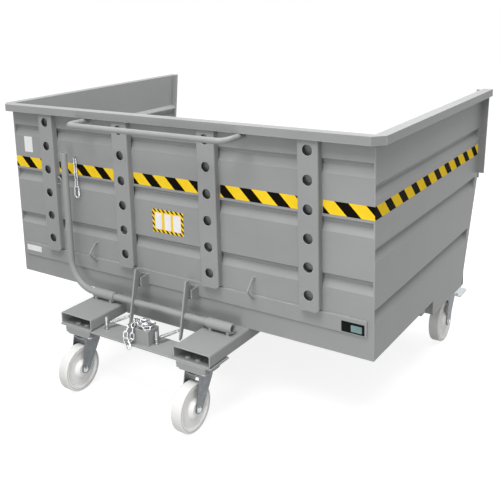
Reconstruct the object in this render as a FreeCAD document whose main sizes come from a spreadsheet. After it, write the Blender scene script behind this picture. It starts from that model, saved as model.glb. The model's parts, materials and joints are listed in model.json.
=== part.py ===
import FreeCAD, Part
import math
import os
import Sketcher

# Tipping skip trolley: a ribbed steel tub, hinged along its far bottom edge to a chassis with fork sleeves.
# Frame: +X along the rear wall where the push handle is, +Y towards the tipping side, +Z up.
# Origin: on the floor, under the middle of the whole trolley. Sizes in millimetres.
# The pieces are drawn from the rear wall's outer face at Y = 0, and each is then set back by the same amount.
doc = FreeCAD.newDocument("tipping_skip_trolley")

SIZES = {
    # Tub panels
    "tub_width": 1700.0,
    "tub_sheet": 4.0,
    "wall_top": 1067.0,
    "cheek_start": 576.0,
    "cheek_low": 240.0,
    "cheek_far": 930.0,
    "lip_reach": 1118.0,
    "lip_top": 702.0,
    "lip_fold": 30.0,
    "brow_reach": 1165.0,
    "groove_depth": 18.0,
    "groove_upper": 14.0,
    "groove_flat": 6.0,
    "groove_lower": 30.0,
    "rear_groove_drop": 91.0,
    "rear_groove_rise": 140.0,
    "side_groove_drop": 164.0,
    "side_groove_rise": 179.5,
    # Rim, edge flanges, stiffeners and the foot strip of the rear wall
    "rim_out": 38.0,
    "rim_high": 30.0,
    "rim_sheet": 4.0,
    "flange_out": 26.0,
    "groove_end": 34.0,
    "stiff_width": 80.0,
    "stiff_depth": 28.0,
    "stiff_sheet": 3.0,
    "stiff_inset": 227.5,
    "stiff_gap": 0.5,
    "stiff_drop": 24.0,
    "stiff_corner": 25.0,
    "stiff_hole": 19.0,
    "stiff_hole_drop": 42.0,
    "stiff_hole_rise": 55.5,
    "foot_low": 384.0,
    "foot_high": 440.0,
    "foot_thick": 6.0,
    "foot_inset": 24.0,
    # Push handle and rope hooks
    "handle_radius": 11.0,
    "handle_wall": 2.5,
    "handle_span": 744.0,
    "handle_shift": -12.0,
    "handle_reach": 130.0,
    "handle_drop": 42.0,
    "handle_bend": 34.0,
    "rope_hook_x": 388.0,
    "rope_hook_rod": 4.0,
    "rope_hook_reach": 48.0,
    "rope_hook_rise": 28.0,
    "rope_hook_high": 74.0,
    "rope_hook_leg": 12.0,
    "rope_hook_bend": 7.0,
    # Chassis
    "chassis_top": 301.0,
    "tub_gap": 0.5,
    "sleeve_inner": 200.0,
    "sleeve_width": 160.0,
    "sleeve_high": 48.0,
    "sleeve_wall": 4.0,
    "sleeve_corner": 8.0,
    "sleeve_start": -249.0,
    "bridge_far": -142.0,
    "bridge_thick": 6.0,
    "bridge_over": 5.0,
    "tie_front": -45.0,
    "tie_depth": 60.0,
    "beam_depth": 126.0,
    "beam_wall": 5.0,
    "beam_clear": 6.0,
    "beam_over": 8.0,
    "inner_beam_start": 592.0,
    "inner_beam_depth": 60.0,
    "inner_beam_low": 235.0,
    "side_member_width": 60.0,
    "floor_rib_start": 470.0,
    "floor_rib_wide": 40.0,
    "floor_rib_high": 26.0,
    "floor_rib_gap": 6.0,
    # Tipping hinge
    "hinge_z": 320.0,
    "hinge_x": 430.0,
    "hinge_pin": 8.0,
    "hinge_eye": 15.0,
    "hinge_clear": 1.2,
    "hinge_lug": 12.0,
    "hinge_space": 0.5,
    "lug_inset": 2.0,
    "strap_crown": 9.0,
    "strap_high": 60.0,
    "pin_head": 12.0,
    "pin_over": 6.0,
    "running_fit": 0.08,
    # Release lever, its bearings and the hooks
    "shaft_y": -76.0,
    "shaft_z": 326.0,
    "shaft_radius": 13.45,
    "shaft_bore": 10.5,
    "shaft_end": 322.0,
    "lever_x": -467.0,
    "lever_drop": 170.0,
    "lever_bend": 120.0,
    "bearing_inner": 232.0,
    "bearing_length": 108.0,
    "bearing_radius": 19.0,
    "bearing_foot": 10.0,
    "bearing_foot_wide": 30.0,
    "hook_x": 124.0,
    "hook_thick": 6.0,
    "hook_boss": 18.0,
    "hook_wide": 27.0,
    "hook_foot_wide": 14.0,
    "hook_foot_y": -119.0,
    "hook_foot_z": 243.0,
    "hook_crown_y": -66.0,
    "hook_crown_z": 459.0,
    "hook_nose_y": -21.0,
    "nose_gap": 0.6,
    "tail_pin": 4.0,
    "tail_pin_long": 14.0,
    "catch_gap": 13.0,
    "catch_sheet": 4.0,
    "catch_low": 373.0,
    "catch_high": 425.0,
    "catch_reach": 48.0,
    "catch_pin": 6.0,
    "catch_pin_y": -34.0,
    "catch_pin_z": 389.0,
    # Spring posts and chain box
    "post_shift": -41.0,
    "post_y": -199.0,
    "post_radius": 6.0,
    "post_collar": 9.6,
    "post_collar_high": 6.0,
    "post_high": 52.0,
    "spring_z": 276.0,
    "spring_coil": 5.5,
    "spring_wire": 1.4,
    "spring_turns": 16.0,
    "spring_seat": 0.3,
    "chain_box_x": -32.0,
    "chain_box_wide": 102.0,
    "chain_box_front": -230.0,
    "chain_box_deep": 62.0,
    "chain_box_high": 58.0,
    "chain_box_sheet": 3.0,
    # Safety chain, its hook ring and the lever-lock chain
    "chain_long": 22.0,
    "chain_wide": 9.0,
    "chain_wire": 2.5,
    "chain_slack": 0.6,
    "ring_long": 42.0,
    "ring_wide": 18.0,
    "ring_wire": 3.0,
    "lock_x": 475.0,
    "lock_drop": 210.0,
    "lock_reach": 10.0,
    "lock_tab": 5.0,
    "lock_tab_round": 8.0,
    "lock_seat": 0.3,
    "lock_eye": 4.5,
    "lock_long": 29.6,
    "lock_wide": 9.0,
    "lock_wire": 2.0,
    # Casters
    "wheel_radius": 90.0,
    "wheel_width": 42.0,
    "hub_radius": 25.0,
    "hub_width": 57.0,
    "web_width": 31.0,
    "rim_inner": 69.0,
    "tread_round": 5.0,
    "trail": 55.0,
    "near_caster_x": 275.0,
    "near_caster_y": -200.0,
    "caster_high": 223.0,
    "caster_plate_x": 116.0,
    "caster_plate_y": 86.0,
    "caster_plate_thick": 5.0,
    "race_radius": 38.0,
    "race_high": 8.0,
    "fork_gap": 30.0,
    "fork_sheet": 4.0,
    "fork_head": 44.0,
    "fork_head_high": 8.0,
    "axle_radius": 6.0,
    "axle_head": 10.0,
    "kingpin": 8.0,
    "kingpin_head": 12.0,
    "fork_lead": 34.0,
    "fork_tail": 40.0,
    "fork_tip": 18.0,
    "fork_tip_round": 17.0,
    "fork_shoulder": 17.0,
    "pad_sheet": 4.0,
    "pad_chamfer": 15.0,
    "pad_clear": 2.0,
    # Brake pedals
    "brake_pivot_y": 22.0,
    "brake_pivot_z": 190.0,
    "brake_pin": 5.0,
    "brake_arm": 3.5,
    "pedal_start": 53.0,
    "pedal_drop": 35.0,
    "pedal_long": 100.0,
    "pedal_wide": 90.0,
    "pedal_round": 12.0,
    "pedal_arm_high": 9.0,
    "pedal_arm_round": 8.0,
    "pedal_arm_long": 18.0,
}

sheet = doc.addObject("Spreadsheet::Sheet", "Sizes")
for row, (name, value) in enumerate(SIZES.items(), start=1):
    sheet.set("A" + str(row), name)
    sheet.set("B" + str(row), str(value))
    sheet.setAlias("B" + str(row), name)
doc.recompute()


class Size:
    """A length that keeps both its value and the sheet expression it comes from."""

    def __init__(self, text, value):
        self.text = text
        self.value = value

    def __add__(self, other):
        other = as_size(other)
        return Size("(%s + %s)" % (self.text, other.text), self.value + other.value)

    def __sub__(self, other):
        other = as_size(other)
        return Size("(%s - %s)" % (self.text, other.text), self.value - other.value)

    def __mul__(self, factor):
        factor = as_size(factor)
        return Size("(%s * %s)" % (self.text, factor.text), self.value * factor.value)

    def __truediv__(self, factor):
        factor = as_size(factor)
        return Size("(%s / %s)" % (self.text, factor.text), self.value / factor.value)

    def __neg__(self):
        return Size("(0 - %s)" % self.text, -self.value)

    def __radd__(self, other):
        return as_size(other) + self

    def __rsub__(self, other):
        return as_size(other) - self


def as_size(number):
    return number if isinstance(number, Size) else Size(repr(float(number)), float(number))


def size(name):
    return Size("Sizes." + name, float(sheet.get(name)))


def root(length):
    return Size("sqrt(%s)" % length.text, math.sqrt(length.value))


ZERO = as_size(0)
parts = []


def bind(item, prop, length):
    item.setExpression(prop, as_size(length).text)


def keep(item, label):
    """Name a finished piece and set it in the frame, so that it is checked and written under that name."""
    tail_end = size("near_caster_y") - size("trail") - size("wheel_radius")
    set_back = (size("brow_reach") + tail_end) / 2
    bound = dict((path.lstrip("."), text) for path, text in item.ExpressionEngine)
    drawn = bound.get("Placement.Base.y", "0")
    item.setExpression("Placement.Base.y", "(%s) - %s" % (drawn, set_back.text))
    item.Label = label
    parts.append(item)
    return item


def place(item, x, y, z):
    for axis, length in zip("xyz", (x, y, z)):
        bind(item, "Placement.Base." + axis, length)
    return item


def box(name, x, y, z, long, wide, high):
    item = doc.addObject("Part::Box", name)
    for prop, length in (("Length", long), ("Width", wide), ("Height", high)):
        bind(item, prop, length)
    return place(item, x, y, z)


TURN = {
    "X": FreeCAD.Rotation(FreeCAD.Vector(0, 1, 0), 90),
    "Y": FreeCAD.Rotation(FreeCAD.Vector(1, 0, 0), -90),
    "Z": FreeCAD.Rotation(),
}


def rod(name, axis, radius, x, y, z, long):
    """A cylinder that starts at the given point and runs along +X, +Y or +Z."""
    item = doc.addObject("Part::Cylinder", name)
    item.Placement = FreeCAD.Placement(FreeCAD.Vector(), TURN[axis])
    bind(item, "Radius", radius)
    bind(item, "Height", long)
    return place(item, x, y, z)


def fuse(name, items):
    item = doc.addObject("Part::MultiFuse", name)
    item.Shapes = items
    item.Refine = True
    return item


def cut(name, base, tool):
    item = doc.addObject("Part::Cut", name)
    item.Base = base
    item.Tool = tool
    return item


def common(name, first, second):
    item = doc.addObject("Part::Common", name)
    item.Base = first
    item.Tool = second
    return item


def plane_of(body, role):
    return [f for f in body.Origin.OriginFeatures if f.Role == role][0]


def new_sketch(body, role, offset):
    """A sketch on one of the body's own origin planes, moved along that plane's normal."""
    sketch = body.newObject("Sketcher::SketchObject", body.Name + "_sketch")
    sketch.AttachmentSupport = (plane_of(body, role), "")
    sketch.MapMode = "FlatFace"
    bind(sketch, "AttachmentOffset.Base.z", offset)
    return sketch


def pin_point(sketch, geometry, end, point, tag):
    """Tie a sketch point to the sheet in both directions."""
    for kind, length in (("DistanceX", point[0]), ("DistanceY", point[1])):
        length = as_size(length)
        number = sketch.addConstraint(Sketcher.Constraint(kind, -1, 1, geometry, end, length.value))
        sketch.renameConstraint(number, kind + tag)
        bind(sketch, "Constraints." + kind + tag, length)


def draw_line(sketch, points, rounds=None, closed=True):
    """Draw straight sides through the points, round the listed corners and tie everything to the sheet."""
    rounds = rounds or {}
    count = len(points)
    points = [(as_size(a), as_size(b)) for a, b in points]
    corners = [FreeCAD.Vector(a.value, b.value, 0) for a, b in points]
    arrive, leave, bends = dict(enumerate(points)), dict(enumerate(points)), {}
    for i, radius in rounds.items():
        back = (corners[i - 1] - corners[i]).normalize()
        ahead = (corners[(i + 1) % count] - corners[i]).normalize()
        half_angle = back.getAngle(ahead) / 2
        inward = (back + ahead).normalize() * (1 / math.sin(half_angle))
        run = as_size(radius) / math.tan(half_angle)
        arrive[i] = tuple(points[i][k] + run * back[k] for k in (0, 1))
        leave[i] = tuple(points[i][k] + run * ahead[k] for k in (0, 1))
        bends[i] = tuple(points[i][k] + as_size(radius) * inward[k] for k in (0, 1))
    spot = {}
    for name, table in (("arrive", arrive), ("leave", leave), ("centre", bends)):
        spot[name] = {i: FreeCAD.Vector(a.value, b.value, 0) for i, (a, b) in table.items()}
    last = count if closed else count - 1
    sides = []
    for i in range(last):
        line = Part.LineSegment(spot["leave"][i], spot["arrive"][(i + 1) % count])
        sides.append(sketch.addGeometry(line))
    for i in range(count):
        if not closed and i in (0, count - 1):
            side, end = (sides[0], 1) if i == 0 else (sides[-1], 2)
            pin_point(sketch, side, end, points[i], str(i))
            continue
        before, after = sides[i - 1], sides[i % last]
        if i not in rounds:
            sketch.addConstraint(Sketcher.Constraint("Coincident", before, 2, after, 1))
            pin_point(sketch, after, 1, points[i], str(i))
            continue
        start, end, centre = (spot[name][i] for name in ("arrive", "leave", "centre"))
        middle = centre + (corners[i] - centre).normalize() * as_size(rounds[i]).value
        bend = sketch.addGeometry(Part.Arc(start, middle, end))
        first = sketch.Geometry[bend].StartPoint.distanceToPoint(start) < 1e-4
        ends = (1, 2) if first else (2, 1)
        sketch.addConstraint(Sketcher.Constraint("Coincident", before, 2, bend, ends[0]))
        sketch.addConstraint(Sketcher.Constraint("Coincident", bend, ends[1], after, 1))
        pin_point(sketch, bend, ends[0], arrive[i], str(i) + "in")
        pin_point(sketch, bend, ends[1], leave[i], str(i) + "out")
        lift = corners[i] - centre
        way = 0 if abs(lift.x) >= abs(lift.y) else 1
        datum = sketch.addConstraint(
            Sketcher.Constraint(("DistanceX", "DistanceY")[way], -1, 1, bend, 3, bends[i][way].value))
        sketch.renameConstraint(datum, "Round" + str(i))
        bind(sketch, "Constraints.Round" + str(i), bends[i][way])
    return sketch


def pad(name, role, points, start, end, rounds=None):
    """A plate or profile: an outline on an origin plane, padded from start to end along the world axis."""
    item = doc.addObject("PartDesign::Body", name)
    offset = -as_size(end) if role == "XZ_Plane" else as_size(start)
    sketch = draw_line(new_sketch(item, role, offset), points, rounds)
    feature = item.newObject("PartDesign::Pad", name + "_pad")
    feature.Profile = sketch
    bind(feature, "Length", as_size(end) - as_size(start))
    return item


def draw_circles(sketch, centre, radii):
    for number, radius in enumerate(radii):
        spot = FreeCAD.Vector(as_size(centre[0]).value, as_size(centre[1]).value, 0)
        ring = sketch.addGeometry(Part.Circle(spot, FreeCAD.Vector(0, 0, 1), as_size(radius).value))
        tag = "ring" + str(number)
        pin_point(sketch, ring, 3, centre, tag)
        datum = sketch.addConstraint(Sketcher.Constraint("Radius", ring, as_size(radius).value))
        sketch.renameConstraint(datum, tag)
        bind(sketch, "Constraints." + tag, radius)
    return sketch


def pipe(name, path_plane, path_offset, points, rounds, end_plane, end_offset, centre, radii):
    """A bent tube or rod: circles on one origin plane, swept along a path on another."""
    item = doc.addObject("PartDesign::Body", name)
    path = draw_line(new_sketch(item, path_plane, path_offset), points, rounds, closed=False)
    profile = draw_circles(new_sketch(item, end_plane, end_offset), centre, radii)
    feature = item.newObject("PartDesign::AdditivePipe", name + "_pipe")
    feature.Profile = profile
    edges = len(points) - 1 + len(rounds)
    feature.Spine = (path, ["Edge" + str(n + 1) for n in range(edges)])
    return item


def revolve(name, points, rounds=None):
    """A turned piece: an outline of (along, radius) points revolved about the body's own X axis."""
    item = doc.addObject("PartDesign::Body", name)
    sketch = draw_line(new_sketch(item, "XY_Plane", ZERO), points, rounds)
    feature = item.newObject("PartDesign::Revolution", name + "_turn")
    feature.Profile = sketch
    feature.ReferenceAxis = (sketch, ["H_Axis"])
    feature.Angle = 360
    return item


# Values that several pieces share
half = size("tub_width") / 2
sheet_t = size("tub_sheet")
inside = half - sheet_t
wall_top = size("wall_top")
underside = size("chassis_top") + size("tub_gap")
chassis_top = size("chassis_top")
sleeve_low = chassis_top - size("sleeve_high")
sleeve_inner = size("sleeve_inner")
sleeve_outer = sleeve_inner + size("sleeve_width")
cheek_low = size("cheek_low")
lean = (size("lip_reach") - size("cheek_far")) / (size("lip_top") - cheek_low)
GROOVES = 3


def edge_y(z):
    """Where the leaning far edge of the tub stands at a height below the lip."""
    return size("cheek_far") + lean * (z - cheek_low)


def grooved(surface, way, top, low, first, last):
    """A wall face from top to low, with pressed-in grooves spread from the first height to the last."""
    deep = surface + size("groove_depth") * way
    pitch = (first - last) / (GROOVES - 1)
    line = [(surface, top)]
    for number in range(GROOVES):
        upper = first - pitch * number
        ledge = upper - size("groove_upper")
        floor = ledge - size("groove_flat")
        line += [(surface, upper), (deep, ledge), (deep, floor), (surface, floor - size("groove_lower"))]
    return line + [(surface, low)]


def side_line(surface, way, low):
    first, last = wall_top - size("side_groove_drop"), underside + size("side_groove_rise")
    return grooved(surface, way, wall_top, low, first, last)


def between_sides(name, start, end):
    """The space between the two side walls, which trims what is welded in between them."""
    right = side_line(inside, -1, cheek_low)
    left = [(-x, z) for x, z in reversed(right)]
    return pad(name, "XZ_Plane", right + left, start, end)


# Rear wall: one sheet with three grooves pressed inwards. It reaches the outer faces of the side walls, which
# stand against its back, and a flat strip closes the grooves at each corner
rear_first, rear_last = wall_top - size("rear_groove_drop"), size("foot_high") + size("rear_groove_rise")
rear_line = grooved(ZERO, 1, wall_top, underside, rear_first, rear_last)
rear_back = [(y + sheet_t, z) for y, z in reversed(rear_line)]
rear_sheet = pad("rear_sheet", "YZ_Plane", rear_line + rear_back, -half, half)
rear_high = wall_top - underside
rear_trim = between_sides("rear_trim", sheet_t, size("groove_depth") + sheet_t * 2)
rear_face = box("rear_face", -half, ZERO, underside, half * 2, sheet_t, rear_high)
rear_pieces = [common("rear_panel", rear_sheet, fuse("rear_room", [rear_trim, rear_face]))]
for side, x in (("left", -half), ("right", half - sheet_t)):
    rear_pieces.append(box("rear_end_" + side, x, ZERO, underside, sheet_t, sheet_t, rear_high))
keep(fuse("rear_wall_shape", rear_pieces), "rear_wall")

# Side walls: grooved sheets whose grooves are closed by a rib before the flat far edge, with a cheek that
# covers the carriage end
reach_far, lip_far, brow_far = size("cheek_far"), size("lip_reach"), size("brow_reach")
lip = size("lip_top")
groove_end = size("groove_end")


def far_strip(inner, outer, low):
    """An upright strip along the far edge of a side wall, between two distances from that edge."""
    return [
        (edge_y(low) - inner, low), (edge_y(low) - outer, low), (lip_far - outer, lip),
        (brow_far - outer, wall_top), (brow_far - inner, wall_top), (lip_far - inner, lip),
    ]


cheek_start = size("cheek_start")
pressed = [
    (sheet_t, underside), (cheek_start, underside), (cheek_start, cheek_low),
    (reach_far - groove_end, cheek_low), (lip_far - groove_end, lip), (brow_far - groove_end, wall_top),
    (sheet_t, wall_top),
]
deep = size("groove_depth") + sheet_t
for side, way in (("left", 1), ("right", -1)):
    skin = side_line(half * -way, way, cheek_low)
    back = [(x + sheet_t * way, z) for x, z in reversed(skin)]
    strip = pad("side_sheet_" + side, "XZ_Plane", skin + back, ZERO, brow_far)
    shape = pad("side_outline_" + side, "YZ_Plane", pressed, -half, half)
    panel = common("side_panel_" + side, strip, shape)
    edge_start, rib_start = (-half, -half) if way > 0 else (half - sheet_t, half - deep)
    flat_line = far_strip(groove_end, ZERO, cheek_low)
    rib_line = far_strip(groove_end, groove_end - sheet_t, underside + sheet_t)
    edge = pad("side_edge_" + side, "YZ_Plane", flat_line, edge_start, edge_start + sheet_t)
    rib = pad("side_rib_" + side, "YZ_Plane", rib_line, rib_start, rib_start + deep)
    keep(fuse("side_wall_shape_" + side, [panel, edge, rib]), "side_wall_" + side)

# Floor between the walls, and the low far wall with its folded lip
far_foot = edge_y(underside)
floor_long = far_foot - sheet_t * 2
keep(box("floor_plate", -inside, sheet_t, underside, inside * 2, floor_long, sheet_t), "tub_floor")
lip_end = lip_far + size("lip_fold")
front_outline = [
    (far_foot - sheet_t, underside), (far_foot, underside),
    (lip_far - lean * sheet_t, lip - sheet_t), (lip_end - sheet_t, lip - sheet_t),
    (lip_end - sheet_t, lip - size("lip_fold")), (lip_end, lip - size("lip_fold")), (lip_end, lip),
    (lip_far - sheet_t, lip),
]
keep(pad("front_sheet", "YZ_Plane", front_outline, -inside, inside), "front_wall")

# Flat-bar ribs under the floor, from the sleeves out to the side walls
rib_start = sleeve_outer + size("floor_rib_gap")
rib_long = inside - size("floor_rib_gap") - rib_start
ribs = []
for side, start in (("left", -rib_start - rib_long), ("right", rib_start)):
    ribs.append(box("floor_rib_" + side, start, size("floor_rib_start"), underside - size("floor_rib_high"),
                    rib_long, size("floor_rib_wide"), size("floor_rib_high")))
keep(fuse("floor_rib_pair", ribs), "floor_ribs")

# Rim folded outwards: the rear length has its two corners cut at 45 degrees
rim_t = size("rim_sheet")
rim_out = size("rim_out")
rim_low = wall_top - size("rim_high")
miter = rim_t * math.sqrt(2)
rim_plan = [(-half - rim_out, ZERO), (-half, -rim_out), (half, -rim_out), (half + rim_out, ZERO)]
hollow = half + rim_t - miter
hollow_end = half + rim_out - miter
rim_hollow = [(-hollow_end, ZERO), (-hollow, rim_t - rim_out), (hollow, rim_t - rim_out), (hollow_end, ZERO)]
rim_block = pad("rim_block", "XY_Plane", rim_plan, rim_low, wall_top)
rim_inside = pad("rim_inside", "XY_Plane", rim_hollow, rim_low - rim_t, wall_top - rim_t)
keep(cut("rim_rear_shape", rim_block, rim_inside), "rim_rear")
for side, way in (("left", -1), ("right", 1)):
    section = [
        (half * way, wall_top - rim_t), (half * way, wall_top), ((half + rim_out) * way, wall_top),
        ((half + rim_out) * way, rim_low), ((half + rim_out - rim_t) * way, rim_low),
        ((half + rim_out - rim_t) * way, wall_top - rim_t),
    ]
    keep(pad("rim_shape_" + side, "XZ_Plane", section, ZERO, brow_far), "rim_" + side)

# Flanges that stiffen the free far edges of the side walls, from the lip up to the rim
brow_lean = (brow_far - lip_far) / (wall_top - lip)
brow_end = brow_far - brow_lean * size("rim_high")
flange_line = [(lip_far - sheet_t, lip), (lip_far, lip), (brow_end, rim_low), (brow_end - sheet_t, rim_low)]
flanges = []
for side, start in (("left", -half - size("flange_out")), ("right", half)):
    flanges.append(pad("flange_" + side, "YZ_Plane", flange_line, start, start + size("flange_out")))
keep(fuse("flange_pair", flanges), "edge_flanges")

# Foot strip along the lower rear wall
foot_half = half - size("foot_inset")
keep(box("foot_bar", -foot_half, -size("foot_thick"), size("foot_low"), foot_half * 2, size("foot_thick"),
         size("foot_high") - size("foot_low")), "foot_strip")

# Four channel stiffeners with a row of round holes and rounded lower corners
STIFFENERS = 4
HOLES = 6
stiff_t = size("stiff_sheet")
stiff_deep = size("stiff_depth")
stiff_low = size("foot_high") + size("stiff_gap")
stiff_top = wall_top - size("stiff_drop")
stiff_end = half - size("stiff_inset")
hole_top, hole_low = stiff_top - size("stiff_hole_drop"), stiff_low + size("stiff_hole_rise")
for number in range(STIFFENERS):
    middle = stiff_end * (2 * number / (STIFFENERS - 1) - 1)
    left, right = middle - size("stiff_width") / 2, middle + size("stiff_width") / 2
    name = "stiffener_" + str(number + 1)
    channel = [
        (left, ZERO), (left, -stiff_deep), (right, -stiff_deep), (right, ZERO),
        (right - stiff_t, ZERO), (right - stiff_t, stiff_t - stiff_deep),
        (left + stiff_t, stiff_t - stiff_deep), (left + stiff_t, ZERO),
    ]
    bends = {1: stiff_t * 2, 2: stiff_t * 2, 5: stiff_t, 6: stiff_t}
    profile = pad(name + "_channel", "XY_Plane", channel, stiff_low, stiff_top, bends)
    spot = new_sketch(profile, "XZ_Plane", stiff_deep)
    draw_circles(spot, (middle, hole_top), [size("stiff_hole")])
    hole = profile.newObject("PartDesign::Pocket", name + "_hole")
    hole.Profile = spot
    bind(hole, "Length", stiff_t * 2)
    doc.recompute()
    row = profile.newObject("PartDesign::LinearPattern", name + "_row")
    row.Originals = [hole]
    row.Direction = (spot, ["V_Axis"])
    row.Reversed = True
    row.Occurrences = HOLES
    bind(row, "Length", hole_top - hole_low)
    profile.Tip = row
    edge_left, edge_right = left - stiff_t, right + stiff_t
    end_low, end_top = stiff_low - stiff_t, stiff_top + stiff_t
    front = [(edge_left, end_low), (edge_right, end_low), (edge_right, end_top), (edge_left, end_top)]
    corner = size("stiff_corner") + stiff_t
    face = pad(name + "_face", "XZ_Plane", front, -stiff_deep - stiff_t, stiff_t, {0: corner, 1: corner})
    keep(common(name + "_shape", profile, face), name)

# Push handle: one bent tube under the rim
grip_left = size("handle_shift") - size("handle_span") / 2
grip_right = size("handle_shift") + size("handle_span") / 2
reach = -size("handle_reach")
grip = [(grip_left, ZERO), (grip_left, reach), (grip_right, reach), (grip_right, ZERO)]
grip_rings = [size("handle_radius"), size("handle_radius") - size("handle_wall")]
grip_bends = {n: size("handle_bend") for n in (1, 2)}
grip_level = wall_top - size("handle_drop")
keep(pipe("handle_tube", "XY_Plane", grip_level, grip, grip_bends, "XZ_Plane", ZERO, (grip_left, grip_level),
          grip_rings), "push_handle")

# Two rope hooks: bent rods from the wall down to the foot strip
rope_level = size("foot_high") + size("rope_hook_rise")
rope_top = rope_level + size("rope_hook_high") / 2
rope_low = rope_level - size("rope_hook_high") / 2
rope_leg = size("rope_hook_leg")
rope_path = [
    (ZERO, rope_top), (-rope_leg, rope_top), (-size("rope_hook_reach"), rope_level),
    (-rope_leg - size("foot_thick"), rope_low), (-size("foot_thick"), rope_low),
]
rope_bends = {n: size("rope_hook_bend") for n in (1, 2, 3)}
rope_hooks = []
for side, x in (("left", -size("rope_hook_x")), ("right", size("rope_hook_x"))):
    rope_hooks.append(pipe("rope_hook_" + side, "YZ_Plane", x, rope_path, rope_bends, "XZ_Plane", ZERO,
                           (x, rope_top), [size("rope_hook_rod")]))
keep(fuse("rope_hook_pair", rope_hooks), "rope_hooks")

# Places that follow from the tub: the hinge stands clear of the leaning far wall, and the beam carries it
hinge_z = size("hinge_z")
eye = size("hinge_eye")
hinge_y = edge_y(hinge_z) + (eye + size("hinge_clear")) * root(lean * lean + 1)
beam_depth = size("beam_depth")
beam_start = hinge_y + size("beam_over") - beam_depth
beam_half = inside - size("beam_clear")
plate_x, plate_y = size("caster_plate_x"), size("caster_plate_y")
far_caster_x = beam_half - plate_x / 2
far_caster_y = beam_start + beam_depth / 2

# Fork sleeves: rectangular tubes with rounded corners, from the rear end to the far beam
sleeve_start = size("sleeve_start")
wall = size("sleeve_wall")
corner = size("sleeve_corner")
for side, start in (("left", -sleeve_outer), ("right", sleeve_inner)):
    end = start + size("sleeve_width")
    outer = [(start, sleeve_low), (end, sleeve_low), (end, chassis_top), (start, chassis_top)]
    inner = [(start + wall, sleeve_low + wall), (end - wall, sleeve_low + wall),
             (end - wall, chassis_top - wall), (start + wall, chassis_top - wall)]
    tube = pad("sleeve_" + side, "XZ_Plane", outer, sleeve_start, beam_start, {n: corner for n in range(4)})
    bore = pad("sleeve_bore_" + side, "XZ_Plane", inner, sleeve_start - wall, beam_start + wall,
               {n: corner - wall for n in range(4)})
    keep(cut("sleeve_shape_" + side, tube, bore), "fork_sleeve_" + side)

# Bridge plate under both sleeves, and a tie tube between them
bridge_half = sleeve_outer + size("bridge_over")
bridge_low = sleeve_low - size("bridge_thick")
keep(box("bridge", -bridge_half, sleeve_start, bridge_low, bridge_half * 2, size("bridge_far") - sleeve_start,
         size("bridge_thick")), "bridge_plate")
tie_front, tie_depth = size("tie_front"), size("tie_depth")
tie = box("tie", -sleeve_inner, tie_front, sleeve_low, sleeve_inner * 2, tie_depth, size("sleeve_high"))
tie_bore = box("tie_bore", -sleeve_inner - wall, tie_front + wall, sleeve_low + wall,
               (sleeve_inner + wall) * 2, tie_depth - wall * 2, size("sleeve_high") - wall * 2)
keep(cut("tie_shape", tie, tie_bore), "tie_tube")

# Carriage at the far end: a wide beam, inner beams beside the sleeves and side members between them
beam_low = size("caster_high")
beam_t = size("beam_wall")
beam_high = chassis_top - beam_low
beam = box("beam", -beam_half, beam_start, beam_low, beam_half * 2, beam_depth, beam_high)
beam_bore = box("beam_bore", -beam_half - beam_t, beam_start + beam_t, beam_low + beam_t,
                (beam_half + beam_t) * 2, beam_depth - beam_t * 2, beam_high - beam_t * 2)
keep(cut("beam_shape", beam, beam_bore), "far_beam")
inner_start = size("inner_beam_start")
inner_deep = size("inner_beam_depth")
inner_low = size("inner_beam_low")
inner_high = chassis_top - inner_low
member_wide = size("side_member_width")
member_start = inner_start + inner_deep
frame_pieces = []
inner_spans = (("left", -beam_half, -sleeve_outer), ("middle", -sleeve_inner, sleeve_inner),
               ("right", sleeve_outer, beam_half))
for name, start, end in inner_spans:
    long = end - start
    block = box("inner_beam_" + name, start, inner_start, inner_low, long, inner_deep, inner_high)
    bore = box("inner_bore_" + name, start - beam_t, inner_start + beam_t, inner_low + beam_t,
               long + beam_t * 2, inner_deep - beam_t * 2, inner_high - beam_t * 2)
    frame_pieces.append(cut("inner_shape_" + name, block, bore))
for name, start in (("left", -beam_half), ("right", beam_half - member_wide)):
    long = beam_start - member_start
    block = box("member_" + name, start, member_start, inner_low, member_wide, long, inner_high)
    bore = box("member_bore_" + name, start + beam_t, member_start - beam_t, inner_low + beam_t,
               member_wide - beam_t * 2, long + beam_t * 2, inner_high - beam_t * 2)
    frame_pieces.append(cut("member_shape_" + name, block, bore))
frame_group = doc.addObject("Part::Compound", "carriage_group")
frame_group.Links = frame_pieces
keep(frame_group, "carriage_frame")

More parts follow.
